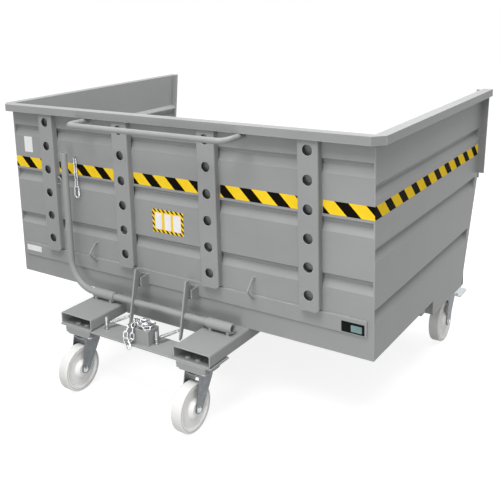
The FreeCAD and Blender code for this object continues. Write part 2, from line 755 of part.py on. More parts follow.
# Tipping hinge: two eyes on the beam and one on the tub at each station, on a common pin
lug = size("hinge_lug")
space = size("hinge_space")
pin = size("hinge_pin")
fit = size("running_fit")
lug_front = hinge_y - eye + size("lug_inset")
lug_deep = beam_start + beam_depth - lug_front
lug_low = hinge_z - eye / 2
strap_crown = size("strap_crown")
strap_top = hinge_z + size("strap_high")
strap_line = [(edge_y(lug_low), lug_low), (hinge_y, lug_low), (hinge_y + strap_crown, hinge_z + strap_crown),
              (edge_y(strap_top), strap_top)]
pin_half = lug / 2 + space + lug + size("pin_over")
beam_lugs, tub_lugs, pins = [], [], []
for side, x in (("left", -size("hinge_x")), ("right", size("hinge_x"))):
    for place_name, start in (("outer", x + lug / 2 + space), ("inner", x - lug / 2 - space - lug)):
        name = side + "_" + place_name
        foot = box("beam_lug_" + name, start, lug_front, chassis_top, lug, lug_deep, hinge_z - chassis_top)
        ring = rod("beam_eye_" + name, "X", eye, start, hinge_y, hinge_z, lug)
        bore = rod("beam_eye_bore_" + name, "X", pin + fit, start - space, hinge_y, hinge_z, lug + space * 2)
        beam_lugs.append(cut("beam_lug_shape_" + name, fuse("beam_lug_block_" + name, [foot, ring]), bore))
    start = x - lug / 2
    strap = pad("tub_lug_" + side, "YZ_Plane", strap_line, start, start + lug)
    ring = rod("tub_eye_" + side, "X", eye, start, hinge_y, hinge_z, lug)
    bore = rod("tub_eye_bore_" + side, "X", pin + fit, start - space, hinge_y, hinge_z, lug + space * 2)
    tub_lugs.append(cut("tub_lug_shape_" + side, fuse("tub_lug_block_" + side, [strap, ring]), bore))
    shank = rod("pin_shank_" + side, "X", pin, x - pin_half, hinge_y, hinge_z, pin_half * 2)
    head = rod("pin_head_" + side, "X", size("pin_head"), x + pin_half, hinge_y, hinge_z, size("pin_over"))
    pins.append(fuse("pin_" + side, [shank, head]))
for label, items in (("chassis_hinge_lugs", beam_lugs), ("tub_hinge_lugs", tub_lugs), ("hinge_pins", pins)):
    group = doc.addObject("Part::Compound", label + "_group")
    group.Links = items
    keep(group, label)

# Release lever: a bent tube that goes on as the latch shaft through two bearings
shaft_y, shaft_z = size("shaft_y"), size("shaft_z")
shaft_r = size("shaft_radius")
lever_x, lever_top = size("lever_x"), wall_top - size("lever_drop")
lever_path = [(lever_x, lever_top), (lever_x, shaft_z), (size("shaft_end"), shaft_z)]
keep(pipe("lever_tube", "XZ_Plane", -shaft_y, lever_path, {1: size("lever_bend")}, "XY_Plane", lever_top,
          (lever_x, shaft_y), [shaft_r, size("shaft_bore")]), "lever_shaft")
bearing_long = size("bearing_length")
bearing_foot = size("bearing_foot")
foot_wide = size("bearing_foot_wide")
for side, start in (("left", -size("bearing_inner") - bearing_long), ("right", size("bearing_inner"))):
    pieces = [rod("bearing_tube_" + side, "X", size("bearing_radius"), start, shaft_y, shaft_z, bearing_long)]
    for name, foot_x in (("near", start + bearing_foot), ("end", start + bearing_long - bearing_foot * 2)):
        pieces.append(box("bearing_foot_" + side + "_" + name, foot_x, shaft_y - foot_wide / 2, chassis_top,
                          bearing_foot, foot_wide, shaft_z - chassis_top))
    bore = rod("bearing_bore_" + side, "X", shaft_r + fit, start - bearing_foot, shaft_y, shaft_z,
               bearing_long + bearing_foot * 2)
    keep(cut("bearing_shape_" + side, fuse("bearing_block_" + side, pieces), bore), "bearing_" + side)

# Hooks on the shaft, and the catches on the tub that they hold down
hook_t = size("hook_thick")
nose_z = size("catch_pin_z") + size("catch_pin") + size("nose_gap")
hook_lean = (size("hook_crown_y") - size("hook_foot_y")) / (size("hook_crown_z") - size("hook_foot_z"))
throat_y = size("hook_foot_y") + hook_lean * (nose_z - size("hook_foot_z")) + size("hook_wide")
hook_line = [
    (size("hook_foot_y"), size("hook_foot_z")), (size("hook_crown_y"), size("hook_crown_z")),
    (size("hook_crown_y") + size("hook_wide") / 2, size("hook_crown_z")),
    (size("hook_nose_y"), nose_z + size("hook_wide") / 2), (size("hook_nose_y"), nose_z), (throat_y, nose_z),
    (size("hook_foot_y") + size("hook_foot_wide"), size("hook_foot_z")),
]
strip_face = -size("foot_thick")
tail_rise = size("spring_z") - size("hook_foot_z")
tail_pin_y = size("hook_foot_y") + hook_lean * tail_rise + size("hook_foot_wide") / 2
for side, x in (("left", -size("hook_x")), ("right", size("hook_x"))):
    start = x - hook_t / 2
    blade = pad("hook_blade_" + side, "YZ_Plane", hook_line, start, start + hook_t,
                {0: hook_t / 2, 3: hook_t / 2, 6: hook_t / 2})
    boss = rod("hook_boss_" + side, "X", size("hook_boss"), start, shaft_y, shaft_z, hook_t)
    stud = rod("hook_stud_" + side, "X", size("tail_pin"), start - size("tail_pin_long"), tail_pin_y,
               size("spring_z"), size("tail_pin_long") + hook_t / 2)
    bore = rod("hook_bore_" + side, "X", shaft_r + fit / 2, start - hook_t, shaft_y, shaft_z, hook_t * 3)
    keep(cut("hook_shape_" + side, fuse("hook_block_" + side, [blade, boss, stud]), bore), "hook_" + side)

    catch_t = size("catch_sheet")
    cheek_in = size("catch_gap")
    catch_high = size("catch_high") - size("catch_low")
    catch_end = strip_face - size("catch_reach")
    plate_line = [
        (strip_face, size("catch_low")), (strip_face, size("catch_high")), (catch_end, size("catch_high")),
        (catch_end, size("catch_pin_z")), (catch_end + catch_high / 2, size("catch_low")),
    ]
    pieces = [box("catch_back_" + side, x - cheek_in - catch_t, strip_face - catch_t, size("catch_low"),
                  (cheek_in + catch_t) * 2, catch_t, catch_high)]
    for name, cheek_x in (("a", x - cheek_in - catch_t), ("b", x + cheek_in)):
        cheek = pad("catch_cheek_" + side + "_" + name, "YZ_Plane", plate_line, cheek_x, cheek_x + catch_t)
        pieces.append(cheek)
    pieces.append(rod("catch_pin_" + side, "X", size("catch_pin"), x - cheek_in - catch_t,
                      size("catch_pin_y"), size("catch_pin_z"), (cheek_in + catch_t) * 2))
    keep(fuse("catch_shape_" + side, pieces), "catch_" + side)

# Spring posts and the folded box that the safety chain lies on, both on the bridge plate
bridge_top = sleeve_low
posts = []
for side, x in (("left", -size("hook_x")), ("right", size("hook_x"))):
    shank = rod("post_" + side, "Z", size("post_radius"), x + size("post_shift"), size("post_y"), bridge_top,
                size("post_high"))
    collar = rod("post_collar_" + side, "Z", size("post_collar"), x + size("post_shift"), size("post_y"),
                 bridge_top, size("post_collar_high"))
    posts.append(fuse("post_shape_" + side, [shank, collar]))
post_group = doc.addObject("Part::Compound", "post_group")
post_group.Links = posts
keep(post_group, "spring_posts")
box_t = size("chain_box_sheet")
lid = box("lid", size("chain_box_x"), size("chain_box_front"), bridge_top, size("chain_box_wide"),
          size("chain_box_deep"), size("chain_box_high"))
lid_bore = box("lid_bore", size("chain_box_x") + box_t, size("chain_box_front") + box_t, bridge_top - box_t,
               size("chain_box_wide") - box_t * 2, size("chain_box_deep") - box_t * 2, size("chain_box_high"))
keep(cut("chain_box_shape", lid, lid_bore), "chain_box")

# Caster pads: spacers under the bridge plate, with skirts that hang down round the caster's top plate
caster_high = size("caster_high")
plate_low = caster_high - size("caster_plate_thick")
pad_t = size("pad_sheet")
pad_cut = size("pad_chamfer")
pad_edge = size("pad_clear") + pad_t


def skirt(start, end):
    """The outline of a skirt, with its two lower corners cut off."""
    return [(start, bridge_low), (start, plate_low + pad_cut), (start + pad_cut, plate_low),
            (end - pad_cut, plate_low), (end, plate_low + pad_cut), (end, bridge_low)]


pads = []
for side, x in (("left", -size("near_caster_x")), ("right", size("near_caster_x"))):
    left, right = x - plate_x / 2 - pad_edge, x + plate_x / 2 + pad_edge
    front = size("near_caster_y") - plate_y / 2 - pad_edge
    back = size("near_caster_y") + plate_y / 2 + pad_edge
    pieces = [pad("pad_rear_" + side, "XZ_Plane", skirt(left, right), front, front + pad_t)]
    for name, start in (("a", left), ("b", right - pad_t)):
        flank = pad("pad_flank_" + side + "_" + name, "YZ_Plane", skirt(front, back), start, start + pad_t)
        pieces.append(flank)
    for name, low in (("roof", bridge_low - pad_t), ("seat", caster_high)):
        pieces.append(box("pad_" + name + "_" + side, left, front, low, right - left, back - front, pad_t))
    pads.append(fuse("pad_shape_" + side, pieces))
pad_group = doc.addObject("Part::Compound", "pad_group")
pad_group.Links = pads
keep(pad_group, "caster_pads")


def caster(tag, x, y, braked):
    """A swivel caster: top plate with race and kingpin, pressed fork, nylon wheel and axle bolt."""
    gap, leg_t = size("fork_gap"), size("fork_sheet")
    kingpin = size("kingpin")
    race_low = plate_low - size("race_high")
    head_top = race_low - space
    head_low = head_top - size("fork_head_high")
    plate = box("plate_" + tag, x - plate_x / 2, y - plate_y / 2, plate_low, plate_x, plate_y,
                caster_high - plate_low)
    race = rod("race_" + tag, "Z", size("race_radius"), x, y, race_low, plate_low - race_low)
    post = rod("kingpin_" + tag, "Z", kingpin, x, y, head_low - leg_t, race_low - head_low + leg_t)
    foot = rod("kingpin_head_" + tag, "Z", size("kingpin_head"), x, y, head_low - space - leg_t, leg_t)
    keep(fuse("plate_shape_" + tag, [plate, race, post, foot]), "caster_plate_" + tag)

    axle_y, axle_z = y - size("trail"), size("wheel_radius")
    lead, tail, tip = size("fork_lead"), size("fork_tail"), size("fork_tip")
    tip_round = size("fork_tip_round")
    leg_line = [(y + lead, head_top), (y - tail, head_top), (axle_y - tip, axle_z - tip),
                (axle_y + tip, axle_z - tip), (y + lead, head_low - size("fork_shoulder"))]
    pieces = [
        rod("fork_head_" + tag, "Z", size("fork_head"), x, y, head_low, head_top - head_low),
        box("fork_crown_" + tag, x - gap - leg_t, y - tail, head_low, (gap + leg_t) * 2, lead + tail,
            head_top - head_low),
    ]
    for name, start in (("a", x - gap - leg_t), ("b", x + gap)):
        pieces.append(pad("fork_leg_" + tag + "_" + name, "YZ_Plane", leg_line, start, start + leg_t,
                          {2: tip_round, 3: tip_round}))
    axle_r = size("axle_radius")
    wide = gap + leg_t
    bores = [
        rod("fork_king_bore_" + tag, "Z", kingpin + fit, x, y, head_low - leg_t,
            head_top - head_low + leg_t * 2),
        rod("fork_axle_bore_" + tag, "X", axle_r + fit / 2, x - wide - leg_t, axle_y, axle_z,
            (wide + leg_t) * 2),
    ]
    if braked:
        bores.append(rod("fork_brake_bore_" + tag, "X", size("brake_pin") + fit, x - wide - leg_t,
                         y + size("brake_pivot_y"), size("brake_pivot_z"), (wide + leg_t) * 2))
    fork = cut("fork_shape_" + tag, fuse("fork_block_" + tag, pieces), fuse("fork_bores_" + tag, bores))
    keep(fork, "fork_" + tag)

    shank = rod("axle_shank_" + tag, "X", axle_r, x - wide - leg_t, axle_y, axle_z, (wide + leg_t) * 2)
    ends = [
        rod("axle_nut_" + tag, "X", size("axle_head"), x - wide - leg_t * 2, axle_y, axle_z, leg_t * 2),
        rod("axle_head_" + tag, "X", size("axle_head"), x + wide, axle_y, axle_z, leg_t * 2),
    ]
    keep(fuse("axle_shape_" + tag, [shank] + ends), "axle_" + tag)

    bore = axle_r + fit
    rim = size("wheel_width") / 2
    hub = size("hub_width") / 2
    web = size("web_width") / 2
    round_r = size("tread_round")
    radius = size("wheel_radius")
    ledge = size("rim_inner")
    boss = size("hub_radius")
    outline_right = [(hub, bore), (hub, boss), (web, boss + hub - web), (web, ledge),
                     (rim, ledge + rim - web), (rim, radius)]
    outline_left = [(-a, r) for a, r in reversed(outline_right)]
    wheel = revolve("wheel_turned_" + tag, outline_right + outline_left, {5: round_r, 6: round_r})
    place(wheel, x, axle_y, axle_z)
    keep(wheel, "wheel_" + tag)


def brake_pedal(tag, x, y):
    """A foot pedal on a pin between the fork legs, on the leading side of the caster."""
    pin_y, pin_z = y + size("brake_pivot_y"), size("brake_pivot_z")
    arm_t, arm_r = size("brake_arm"), size("pedal_arm_high")
    arm_round = size("pedal_arm_round")
    outer = size("fork_gap") - space
    pedal_t = size("fork_sheet")
    tread_y, tread_z = pin_y + size("pedal_start"), pin_z - size("pedal_drop")
    arm_end = tread_y + size("pedal_arm_long")
    arm_line = [(pin_y - arm_r, pin_z + arm_r), (pin_y - arm_r, pin_z - arm_r), (tread_y, tread_z),
                (arm_end, tread_z), (arm_end, tread_z + pedal_t), (pin_y + arm_r, pin_z + arm_r)]
    pieces = []
    for name, start in (("a", x - outer), ("b", x + outer - arm_t)):
        pieces.append(pad("pedal_arm_" + tag + "_" + name, "YZ_Plane", arm_line, start, start + arm_t,
                          {0: arm_round, 1: arm_round}))
    half_wide = size("pedal_wide") / 2
    far = tread_y + size("pedal_long")
    tread = [(x - half_wide, tread_y), (x + half_wide, tread_y), (x + half_wide, far), (x - half_wide, far)]
    corners = {2: size("pedal_round"), 3: size("pedal_round")}
    pieces.append(pad("pedal_tread_" + tag, "XY_Plane", tread, tread_z, tread_z + pedal_t, corners))
    pin_half = size("fork_gap") + pedal_t
    pieces.append(rod("pedal_pin_" + tag, "X", size("brake_pin"), x - pin_half, pin_y, pin_z, pin_half * 2))
    keep(fuse("pedal_shape_" + tag, pieces), "brake_pedal_" + tag)


for side, way in (("left", -1), ("right", 1)):
    caster("rear_" + side, size("near_caster_x") * way, size("near_caster_y"), False)
    caster("front_" + side, far_caster_x * way, far_caster_y, True)
    brake_pedal(side, far_caster_x * way, far_caster_y)


def arc_middle(start, way, end):
    """The middle of the arc that leaves start along way and reaches end, or None for a straight run."""
    chord = end - start
    inward = chord - way * chord.dot(way)
    if inward.Length < 1e-7:
        return None
    inward.normalize()
    radius = chord.dot(chord) / (2 * chord.dot(inward))
    centre = start + inward * radius
    return centre + ((start - centre) + (end - centre)).normalize() * radius


def join_stations(stations):
    """Edges through stations of (point, direction): straight runs, and pairs of arcs that meet smoothly."""
    edges = []
    for (start, way), (end, end_way) in zip(stations, stations[1:]):
        run = end - start
        bend = 1 - way.dot(end_way)
        along = run.dot(way + end_way)
        if bend < 1e-9:
            edges.append(Part.makeLine(start, end))
            continue
        arm = (math.sqrt(along * along + 2 * bend * run.dot(run)) - along) / (2 * bend)
        meet = (start + end + (way - end_way) * arm) * 0.5
        edges.append(Part.Arc(start, arc_middle(start, way, meet), meet).toShape())
        edges.append(Part.Arc(meet, arc_middle(end, end_way * -1, meet), end).toShape())
    return edges


def tube_along(edges, radius):
    start = edges[0].valueAt(edges[0].FirstParameter)
    way = edges[0].tangentAt(edges[0].FirstParameter)
    ring = Part.Wire(Part.Circle(start, way, radius).toShape())
    return Part.Wire(edges).makePipeShell([ring], True, False)


def coil_spring(name, start, end, end_way):
    """A tension spring from a post to a stud, wound as one unbroken tube."""
    coil, wire_r = size("spring_coil").value, size("spring_wire").value
    turns = int(size("spring_turns").value)
    straight = wire_r * 2
    inner_end = end - end_way * straight
    axis = (inner_end - start).normalize()
    side = FreeCAD.Vector(0, 0, 1)
    across = axis.cross(side)
    lead = straight + coil
    first = start + axis * lead
    pitch = ((inner_end - start).Length - lead - coil) / turns
    stations = [(start, axis), (start + axis * straight, axis)]
    for quarter in range(turns * 4 + 1):
        angle = quarter * math.pi / 2
        spoke = side * math.cos(angle) + across * math.sin(angle)
        round_way = across * math.cos(angle) - side * math.sin(angle)
        way = (round_way * (coil * 2 * math.pi) + axis * pitch).normalize()
        stations.append((first + axis * (pitch * quarter / 4) + spoke * coil, way))
    stations += [(inner_end, end_way), (end, end_way)]
    edges = join_stations(stations)
    points = [p for edge in edges for p in edge.discretize(7)[:-1]]
    steps = [a.distanceToPoint(b) for a, b in zip(points, points[1:])]
    near = []
    for i, point in enumerate(points):
        travel = 0.0
        for j in range(i + 1, len(points)):
            travel += steps[j - 1]
            if travel > coil * math.pi:
                near.append(point.distanceToPoint(points[j]))
    print(name, "least gap between turns", round(min(near) - 2 * wire_r, 3))
    item = doc.addObject("Part::Feature", name + "_coil")
    item.Shape = tube_along(edges, wire_r)
    item.Placement = FreeCAD.Placement()
    return keep(item, name)


for side, x in (("left", -size("hook_x").value), ("right", size("hook_x").value)):
    level = size("spring_z").value
    seat = size("spring_seat").value
    post = FreeCAD.Vector(x + size("post_shift").value, size("post_y").value, level)
    stud_x = x - hook_t.value / 2 - size("tail_pin_long").value / 2
    end = FreeCAD.Vector(stud_x, tail_pin_y.value - size("tail_pin").value - seat, level)
    start = post + (end - post).normalize() * (size("post_radius").value + seat)
    coil_spring("spring_" + side, start, end, FreeCAD.Vector(0, 1, 0))


def chain_link(centre, along, roll, inner_long, inner_wide, wire_r):
    """A welded oval link, with its long axis along the chain and its flat side rolled about it."""
    bend = inner_wide / 2 + wire_r
    flat = inner_long / 2 + wire_r - bend
    corner = FreeCAD.Vector
    edges = [
        Part.makeLine(corner(-flat, bend, 0), corner(flat, bend, 0)),
        Part.Arc(corner(flat, bend, 0), corner(flat + bend, 0, 0), corner(flat, -bend, 0)).toShape(),
        Part.makeLine(corner(flat, -bend, 0), corner(-flat, -bend, 0)),
        Part.Arc(corner(-flat, -bend, 0), corner(-flat - bend, 0, 0), corner(-flat, bend, 0)).toShape(),
    ]
    link = tube_along(edges, wire_r)
    level = FreeCAD.Vector(along.y, -along.x, 0)
    if level.Length < 1e-6:
        level = FreeCAD.Vector(1, 0, 0)
    level.normalize()
    aim = FreeCAD.Rotation(along, level, FreeCAD.Vector(), "XYZ")
    turn = aim.multiply(FreeCAD.Rotation(FreeCAD.Vector(1, 0, 0), roll))
    link.Placement = FreeCAD.Placement(centre, turn)
    return link


def heading(azimuth, fall):
    a, f = math.radians(azimuth), math.radians(fall)
    return FreeCAD.Vector(math.cos(a) * math.cos(f), math.sin(a) * math.cos(f), -math.sin(f))


def shape_item(name, label, shapes):
    item = doc.addObject("Part::Feature", name)
    item.Shape = Part.makeCompound(shapes)
    return keep(item, label)


# Safety chain: lies over the chain box and hangs down in front of the bridge plate, with a closed hook ring
CHAIN_TURNS = ((180, 0), (183, 0), (212, 0), (245, 0), (268, 0), (270, 45), (270, 78))
chain_wire = size("chain_wire").value
chain_long, chain_wide = size("chain_long").value, size("chain_wide").value
chain_step = chain_long - size("chain_slack").value
ring_wire, ring_long, ring_wide = (size(n).value for n in ("ring_wire", "ring_long", "ring_wide"))
lie = (chain_wide / 2 + chain_wire) * math.sin(math.pi / 4) + chain_wire + size("chain_slack").value / 2
lid_top = bridge_top.value + size("chain_box_high").value
lid_right = size("chain_box_x").value + size("chain_box_wide").value
lid_back = size("chain_box_front").value + size("chain_box_deep").value
spot = FreeCAD.Vector(lid_right - chain_long / 2, lid_back - chain_long, lid_top + lie)
links = []
for number, (azimuth, fall) in enumerate(CHAIN_TURNS):
    way = heading(azimuth, fall)
    roll = 45 if number % 2 else -45
    links.append(chain_link(spot + way * (chain_step / 2), way, roll, chain_long, chain_wide, chain_wire))
    spot = spot + way * chain_step
shape_item("chain_links", "safety_chain", links)
down = FreeCAD.Vector(0, 0, -1)
hang = spot + down * (ring_long / 2 - size("chain_slack").value / 2)
shape_item("hook_ring", "snap_hook", [chain_link(hang, down, 45, ring_long, ring_wide, ring_wire)])

# Lever-lock chain: an eye on the rear wall with a short chain and a closed ring
LOCK_LINKS = 4
lock_x, lock_y, lock_z = -size("lock_x"), -size("lock_reach"), wall_top - size("lock_drop")
tab_t, tab_r = size("lock_tab"), size("lock_tab_round")
tab = box("lock_tab_bar", lock_x - tab_t / 2, lock_y, lock_z - tab_r, tab_t, -lock_y, tab_r * 2)
tab_round = rod("lock_tab_round", "X", tab_r, lock_x - tab_t / 2, lock_y, lock_z, tab_t)
tab_bore = rod("lock_tab_bore", "X", size("lock_eye"), lock_x - tab_t, lock_y, lock_z, tab_t * 2)
eye_tab = cut("lock_eye_tab", fuse("lock_tab_block", [tab, tab_round]), tab_bore)
doc.recompute()
lock_wire, lock_long, lock_wide = (size(n).value for n in ("lock_wire", "lock_long", "lock_wide"))
lock_step = lock_long - size("chain_slack").value
sag = size("lock_eye").value - lock_wire - size("lock_seat").value
spot = FreeCAD.Vector(lock_x.value, lock_y.value, lock_z.value - sag - lock_long / 2 - lock_wire)
lock_shapes = [eye_tab.Shape]
for number in range(LOCK_LINKS):
    lock_shapes.append(chain_link(spot, down, 90 if number % 2 else 0, lock_long, lock_wide, lock_wire))
    spot = spot + down * lock_step
spot = spot + down * ((ring_long - lock_long) / 2)
lock_shapes.append(chain_link(spot, down, 0, ring_long, ring_wide, ring_wire))
shape_item("lock_links", "lock_chain", lock_shapes)

doc.recompute()
faults = [item.Name for item in doc.Objects if "Invalid" in item.State or "Error" in item.State]
faults += [item.Label for item in parts if item.Shape.isNull() or not item.Shape.isValid()]
if faults:
    raise RuntimeError("pieces that did not build: " + ", ".join(faults))
os.makedirs("parts", exist_ok=True)
for item in parts:
    item.Shape.exportStep("parts/" + item.Label + ".step")
    print(item.Label, len(item.Shape.Solids), round(item.Shape.Volume / 1000, 2))
print(len(parts), "pieces")
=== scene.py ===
import bmesh
import bpy
import json
import math
from mathutils import Matrix, Vector


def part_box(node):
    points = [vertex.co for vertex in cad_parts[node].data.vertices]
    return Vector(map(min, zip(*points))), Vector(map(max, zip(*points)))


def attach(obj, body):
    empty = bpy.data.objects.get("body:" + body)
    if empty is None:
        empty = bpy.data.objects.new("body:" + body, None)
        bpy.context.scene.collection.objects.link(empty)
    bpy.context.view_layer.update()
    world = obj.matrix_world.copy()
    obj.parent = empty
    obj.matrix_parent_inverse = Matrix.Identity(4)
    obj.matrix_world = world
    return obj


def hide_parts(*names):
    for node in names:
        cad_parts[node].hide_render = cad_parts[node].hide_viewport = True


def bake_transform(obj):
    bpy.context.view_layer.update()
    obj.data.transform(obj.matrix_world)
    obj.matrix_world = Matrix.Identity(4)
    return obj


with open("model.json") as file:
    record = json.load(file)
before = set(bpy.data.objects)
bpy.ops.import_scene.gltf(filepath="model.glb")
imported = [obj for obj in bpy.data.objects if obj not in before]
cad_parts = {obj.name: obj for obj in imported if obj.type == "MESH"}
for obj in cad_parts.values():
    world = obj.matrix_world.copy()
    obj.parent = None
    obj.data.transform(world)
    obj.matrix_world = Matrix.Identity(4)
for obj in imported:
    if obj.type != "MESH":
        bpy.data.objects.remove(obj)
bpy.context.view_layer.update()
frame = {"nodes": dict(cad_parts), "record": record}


# Studio: a plain pale floor and a white surround, lit by soft lights overhead at the front, right
# and back, and a weak low one. Floor and surround show white to the camera and in metal; the shadow stays.
def tint(code):
    """An sRGB hex colour as the linear RGBA that the shaders take."""
    shares = [int(code[i:i + 2], 16) / 255 for i in (1, 3, 5)]
    return [s / 12.92 if s <= 0.04045 else ((s + 0.055) / 1.055) ** 2.4 for s in shares] + [1.0]


def put(tree, kind, settings=None, links=None):
    """Add a node with its settings and the sockets that feed it."""
    node = tree.nodes.new(kind)
    for name, value in (settings or {}).items():
        if isinstance(name, int) or name in node.inputs:
            node.inputs[name].default_value = value
        else:
            setattr(node, name, value)
    for name, source in (links or {}).items():
        tree.links.new(source, node.inputs[name])
    return node


def new_finish(name, sockets):
    """A material with its Principled shader, and the values that are the same all over the surface."""
    material = bpy.data.materials.new(name)
    material.use_nodes = True
    shader = material.node_tree.nodes["Principled BSDF"]
    for socket, value in sockets.items():
        shader.inputs[socket].default_value = value
    return material, material.node_tree, shader


def solid(name, bm, smooth=False):
    """Turn a finished bmesh into an object at the origin, faces outwards and, if asked, shaded smooth."""
    bmesh.ops.recalc_face_normals(bm, faces=bm.faces)
    mesh = bpy.data.meshes.new(name)
    bm.to_mesh(mesh)
    bm.free()
    mesh.polygons.foreach_set("use_smooth", [smooth] * len(mesh.polygons))
    piece = bpy.data.objects.new(name, mesh)
    bpy.context.scene.collection.objects.link(piece)
    return piece


def shown(tree):
    """1 for a ray from the camera, off bright metal or through glass, and 0 for light on the object."""
    rays = put(tree, "ShaderNodeLightPath").outputs
    mirrored = put(tree, "ShaderNodeMath", {"operation": "MAXIMUM"},
                   {0: rays["Is Glossy Ray"], 1: rays["Is Transmission Ray"]})
    return put(tree, "ShaderNodeMath", {"operation": "MAXIMUM"},
               {0: rays["Is Camera Ray"], 1: mirrored.outputs[0]}).outputs[0]


FLOOR_HALF = 60.0
FLOOR_GLOW = 0.84
paper_sheet = bmesh.new()
bmesh.ops.create_grid(paper_sheet, x_segments=1, y_segments=1, size=FLOOR_HALF)
floor = solid("studio_floor", paper_sheet)
floor_paper, tree, shader = new_finish("backdrop_paper", {"Base Color": tint("#a0a0a0"), "Roughness": 0.95,
                                                          "Specular IOR Level": 0.0,
                                                          "Emission Color": tint("#ffffff")})
glow = put(tree, "ShaderNodeMath", {"operation": "MULTIPLY", 1: FLOOR_GLOW}, {0: shown(tree)})
tree.links.new(glow.outputs[0], shader.inputs["Emission Strength"])
floor.data.materials.append(floor_paper)

SKY_LIGHT = 0.5
sky = bpy.data.worlds.new("white_surround")
sky.use_nodes = True
backdrop = sky.node_tree.nodes["Background"]
backdrop.inputs["Color"].default_value = tint("#ffffff")
strength = put(sky.node_tree, "ShaderNodeMath", {"operation": "MULTIPLY_ADD", 1: 1 - SKY_LIGHT, 2: SKY_LIGHT},
               {0: shown(sky.node_tree)})
sky.node_tree.links.new(strength.outputs[0], backdrop.inputs["Strength"])
bpy.context.scene.world = sky
bpy.context.scene.view_settings.view_transform = "Standard"

# Each light's name, its place, the point it is aimed at, its width in metres and its power in watts.
LAMPS = (("key_diffuser", (0.3, -2.1, 4.5), (0, -0.2, 0.5), 2.6, 160),
         ("low_diffuser", (0.9, -3.0, 0.4), (0, -0.62, 0.1), 1.0, 22),
         ("side_diffuser", (2.2, 0.1, 4.4), (0.85, 0.1, 0.6), 1.2, 52),
         ("back_diffuser", (0.2, 2.8, 3.6), (0, 0.4, 0.5), 2.0, 58))
for name, spot, target, wide, power in LAMPS:
    lamp = bpy.data.lights.new(name, "AREA")
    lamp.shape = "SQUARE"
    lamp.size = wide
    lamp.energy = power
    stand = bpy.data.objects.new(name, lamp)
    stand.location = spot
    stand.rotation_euler = (Vector(target) - Vector(spot)).to_track_quat("-Z", "Y").to_euler()
    bpy.context.scene.collection.objects.link(stand)

# Camera: stands to the right of the rear wall at the photograph's angle. The shift gives the photograph's
# framing, in which the trolley stands below the optical axis.
LENS_MM, SENSOR_MM = 53.844, 36.0
SHIFT_X, SHIFT_Y = 0.0394, -0.2151
CAMERA_SPOT = Vector((1.7699, -2.5408, 1.5165))
YAW, PITCH, ROLL = (math.radians(a) for a in (-34.579, 11.431, 1.739))
ahead = Vector((math.sin(YAW) * math.cos(PITCH), math.cos(YAW) * math.cos(PITCH), -math.sin(PITCH)))
level = Vector((math.cos(YAW), -math.sin(YAW), 0))
down = ahead.cross(level)
right = level * math.cos(ROLL) + down * math.sin(ROLL)
below = down * math.cos(ROLL) - level * math.sin(ROLL)
lens = bpy.data.cameras.new("photo_camera")
lens.sensor_fit = "HORIZONTAL"
lens.sensor_width = SENSOR_MM
lens.lens = LENS_MM
lens.shift_x, lens.shift_y = SHIFT_X, SHIFT_Y
camera = bpy.data.objects.new("photo_camera", lens)
turned = Matrix((right, -below, -ahead)).transposed()
camera.matrix_world = Matrix.Translation(CAMERA_SPOT) @ turned.to_4x4()
bpy.context.scene.collection.objects.link(camera)
bpy.context.scene.camera = camera


# Tub, chassis and latch: welded mild steel, powder coated in one light grey. The coat is satin, a little
# uneven in thickness over a few hundred millimetres, with fine waviness and softly rounded sheet edges.
def cloudy(tree, place, size, spots, codes):
    """A soft mottle with patches of about the given size, and the colour that goes with it."""
    patch = put(tree, "ShaderNodeTexNoise", {"Scale": 1 / size, "Detail": 4.0, "Roughness": 0.6},
                {"Vector": place})
    shade = put(tree, "ShaderNodeValToRGB", None, {"Fac": patch.outputs["Fac"]})
    for stop, spot, code in zip(shade.color_ramp.elements, spots, codes):
        stop.position = spot
        stop.color = tint(code)
    return patch.outputs["Fac"], shade.outputs["Color"]


def surface(tree, shader, place, patch, gloss, grain, strength, depth, edge):
    """Roughness that follows the patches, and a fine grain over edges that are rounded to the eye."""
    rough = put(tree, "ShaderNodeMapRange", {"To Min": gloss[0], "To Max": gloss[1]}, {"Value": patch})
    tree.links.new(rough.outputs["Result"], shader.inputs["Roughness"])
    fine = put(tree, "ShaderNodeTexNoise", {"Scale": 1 / grain, "Detail": 2.0}, {"Vector": place})
    eased = put(tree, "ShaderNodeBevel", {"samples": 4, "Radius": edge})
    bump = put(tree, "ShaderNodeBump", {"Strength": strength, "Distance": depth},
               {"Height": fine.outputs["Fac"], "Normal": eased.outputs["Normal"]})
    tree.links.new(bump.outputs["Normal"], shader.inputs["Normal"])


def powder_coat(name, pale, deep, edge_wear_and_highlight):
    material, tree, shader = new_finish(name, {"IOR": 1.5, "Specular IOR Level": 0.16})
    place = put(tree, "ShaderNodeTexCoord").outputs["Object"]
    patch, colour = cloudy(tree, place, size=0.45, spots=(0.32, 0.7), codes=(deep, pale))
    # Sheet edges are paler over 1 to 2 mm, drawn over 4 mm, wherever a rounded edge would turn: partly rubbed
    # wear, partly painted highlight.
    bent = put(tree, "ShaderNodeBevel", {"samples": 6, "Radius": EDGE_WEAR_AND_HIGHLIGHT_WIDTH}).outputs["Normal"]
    flat = put(tree, "ShaderNodeNewGeometry").outputs["Normal"]
    agree = put(tree, "ShaderNodeVectorMath", {"operation": "DOT_PRODUCT"}, {0: bent, 1: flat})
    edge_wear_and_highlight_share = put(tree, "ShaderNodeMapRange", {"From Min": 0.98, "From Max": 0.75, "To Min": 0.0, "To Max": 0.7},
              {"Value": agree.outputs["Value"]})
    worn_and_highlit_colour = put(tree, "ShaderNodeMix", {"data_type": "RGBA", 7: tint(edge_wear_and_highlight)},
               {0: edge_wear_and_highlight_share.outputs["Result"], 6: colour})
    tree.links.new(worn_and_highlit_colour.outputs[2], shader.inputs["Base Color"])
    # The real waviness is about 1.5 mm long; it is drawn at 5 mm so that it shows.
    surface(tree, shader, place, patch, gloss=(0.32, 0.46), grain=0.005, strength=0.08,
            depth=0.0006, edge=0.0015)
    return material


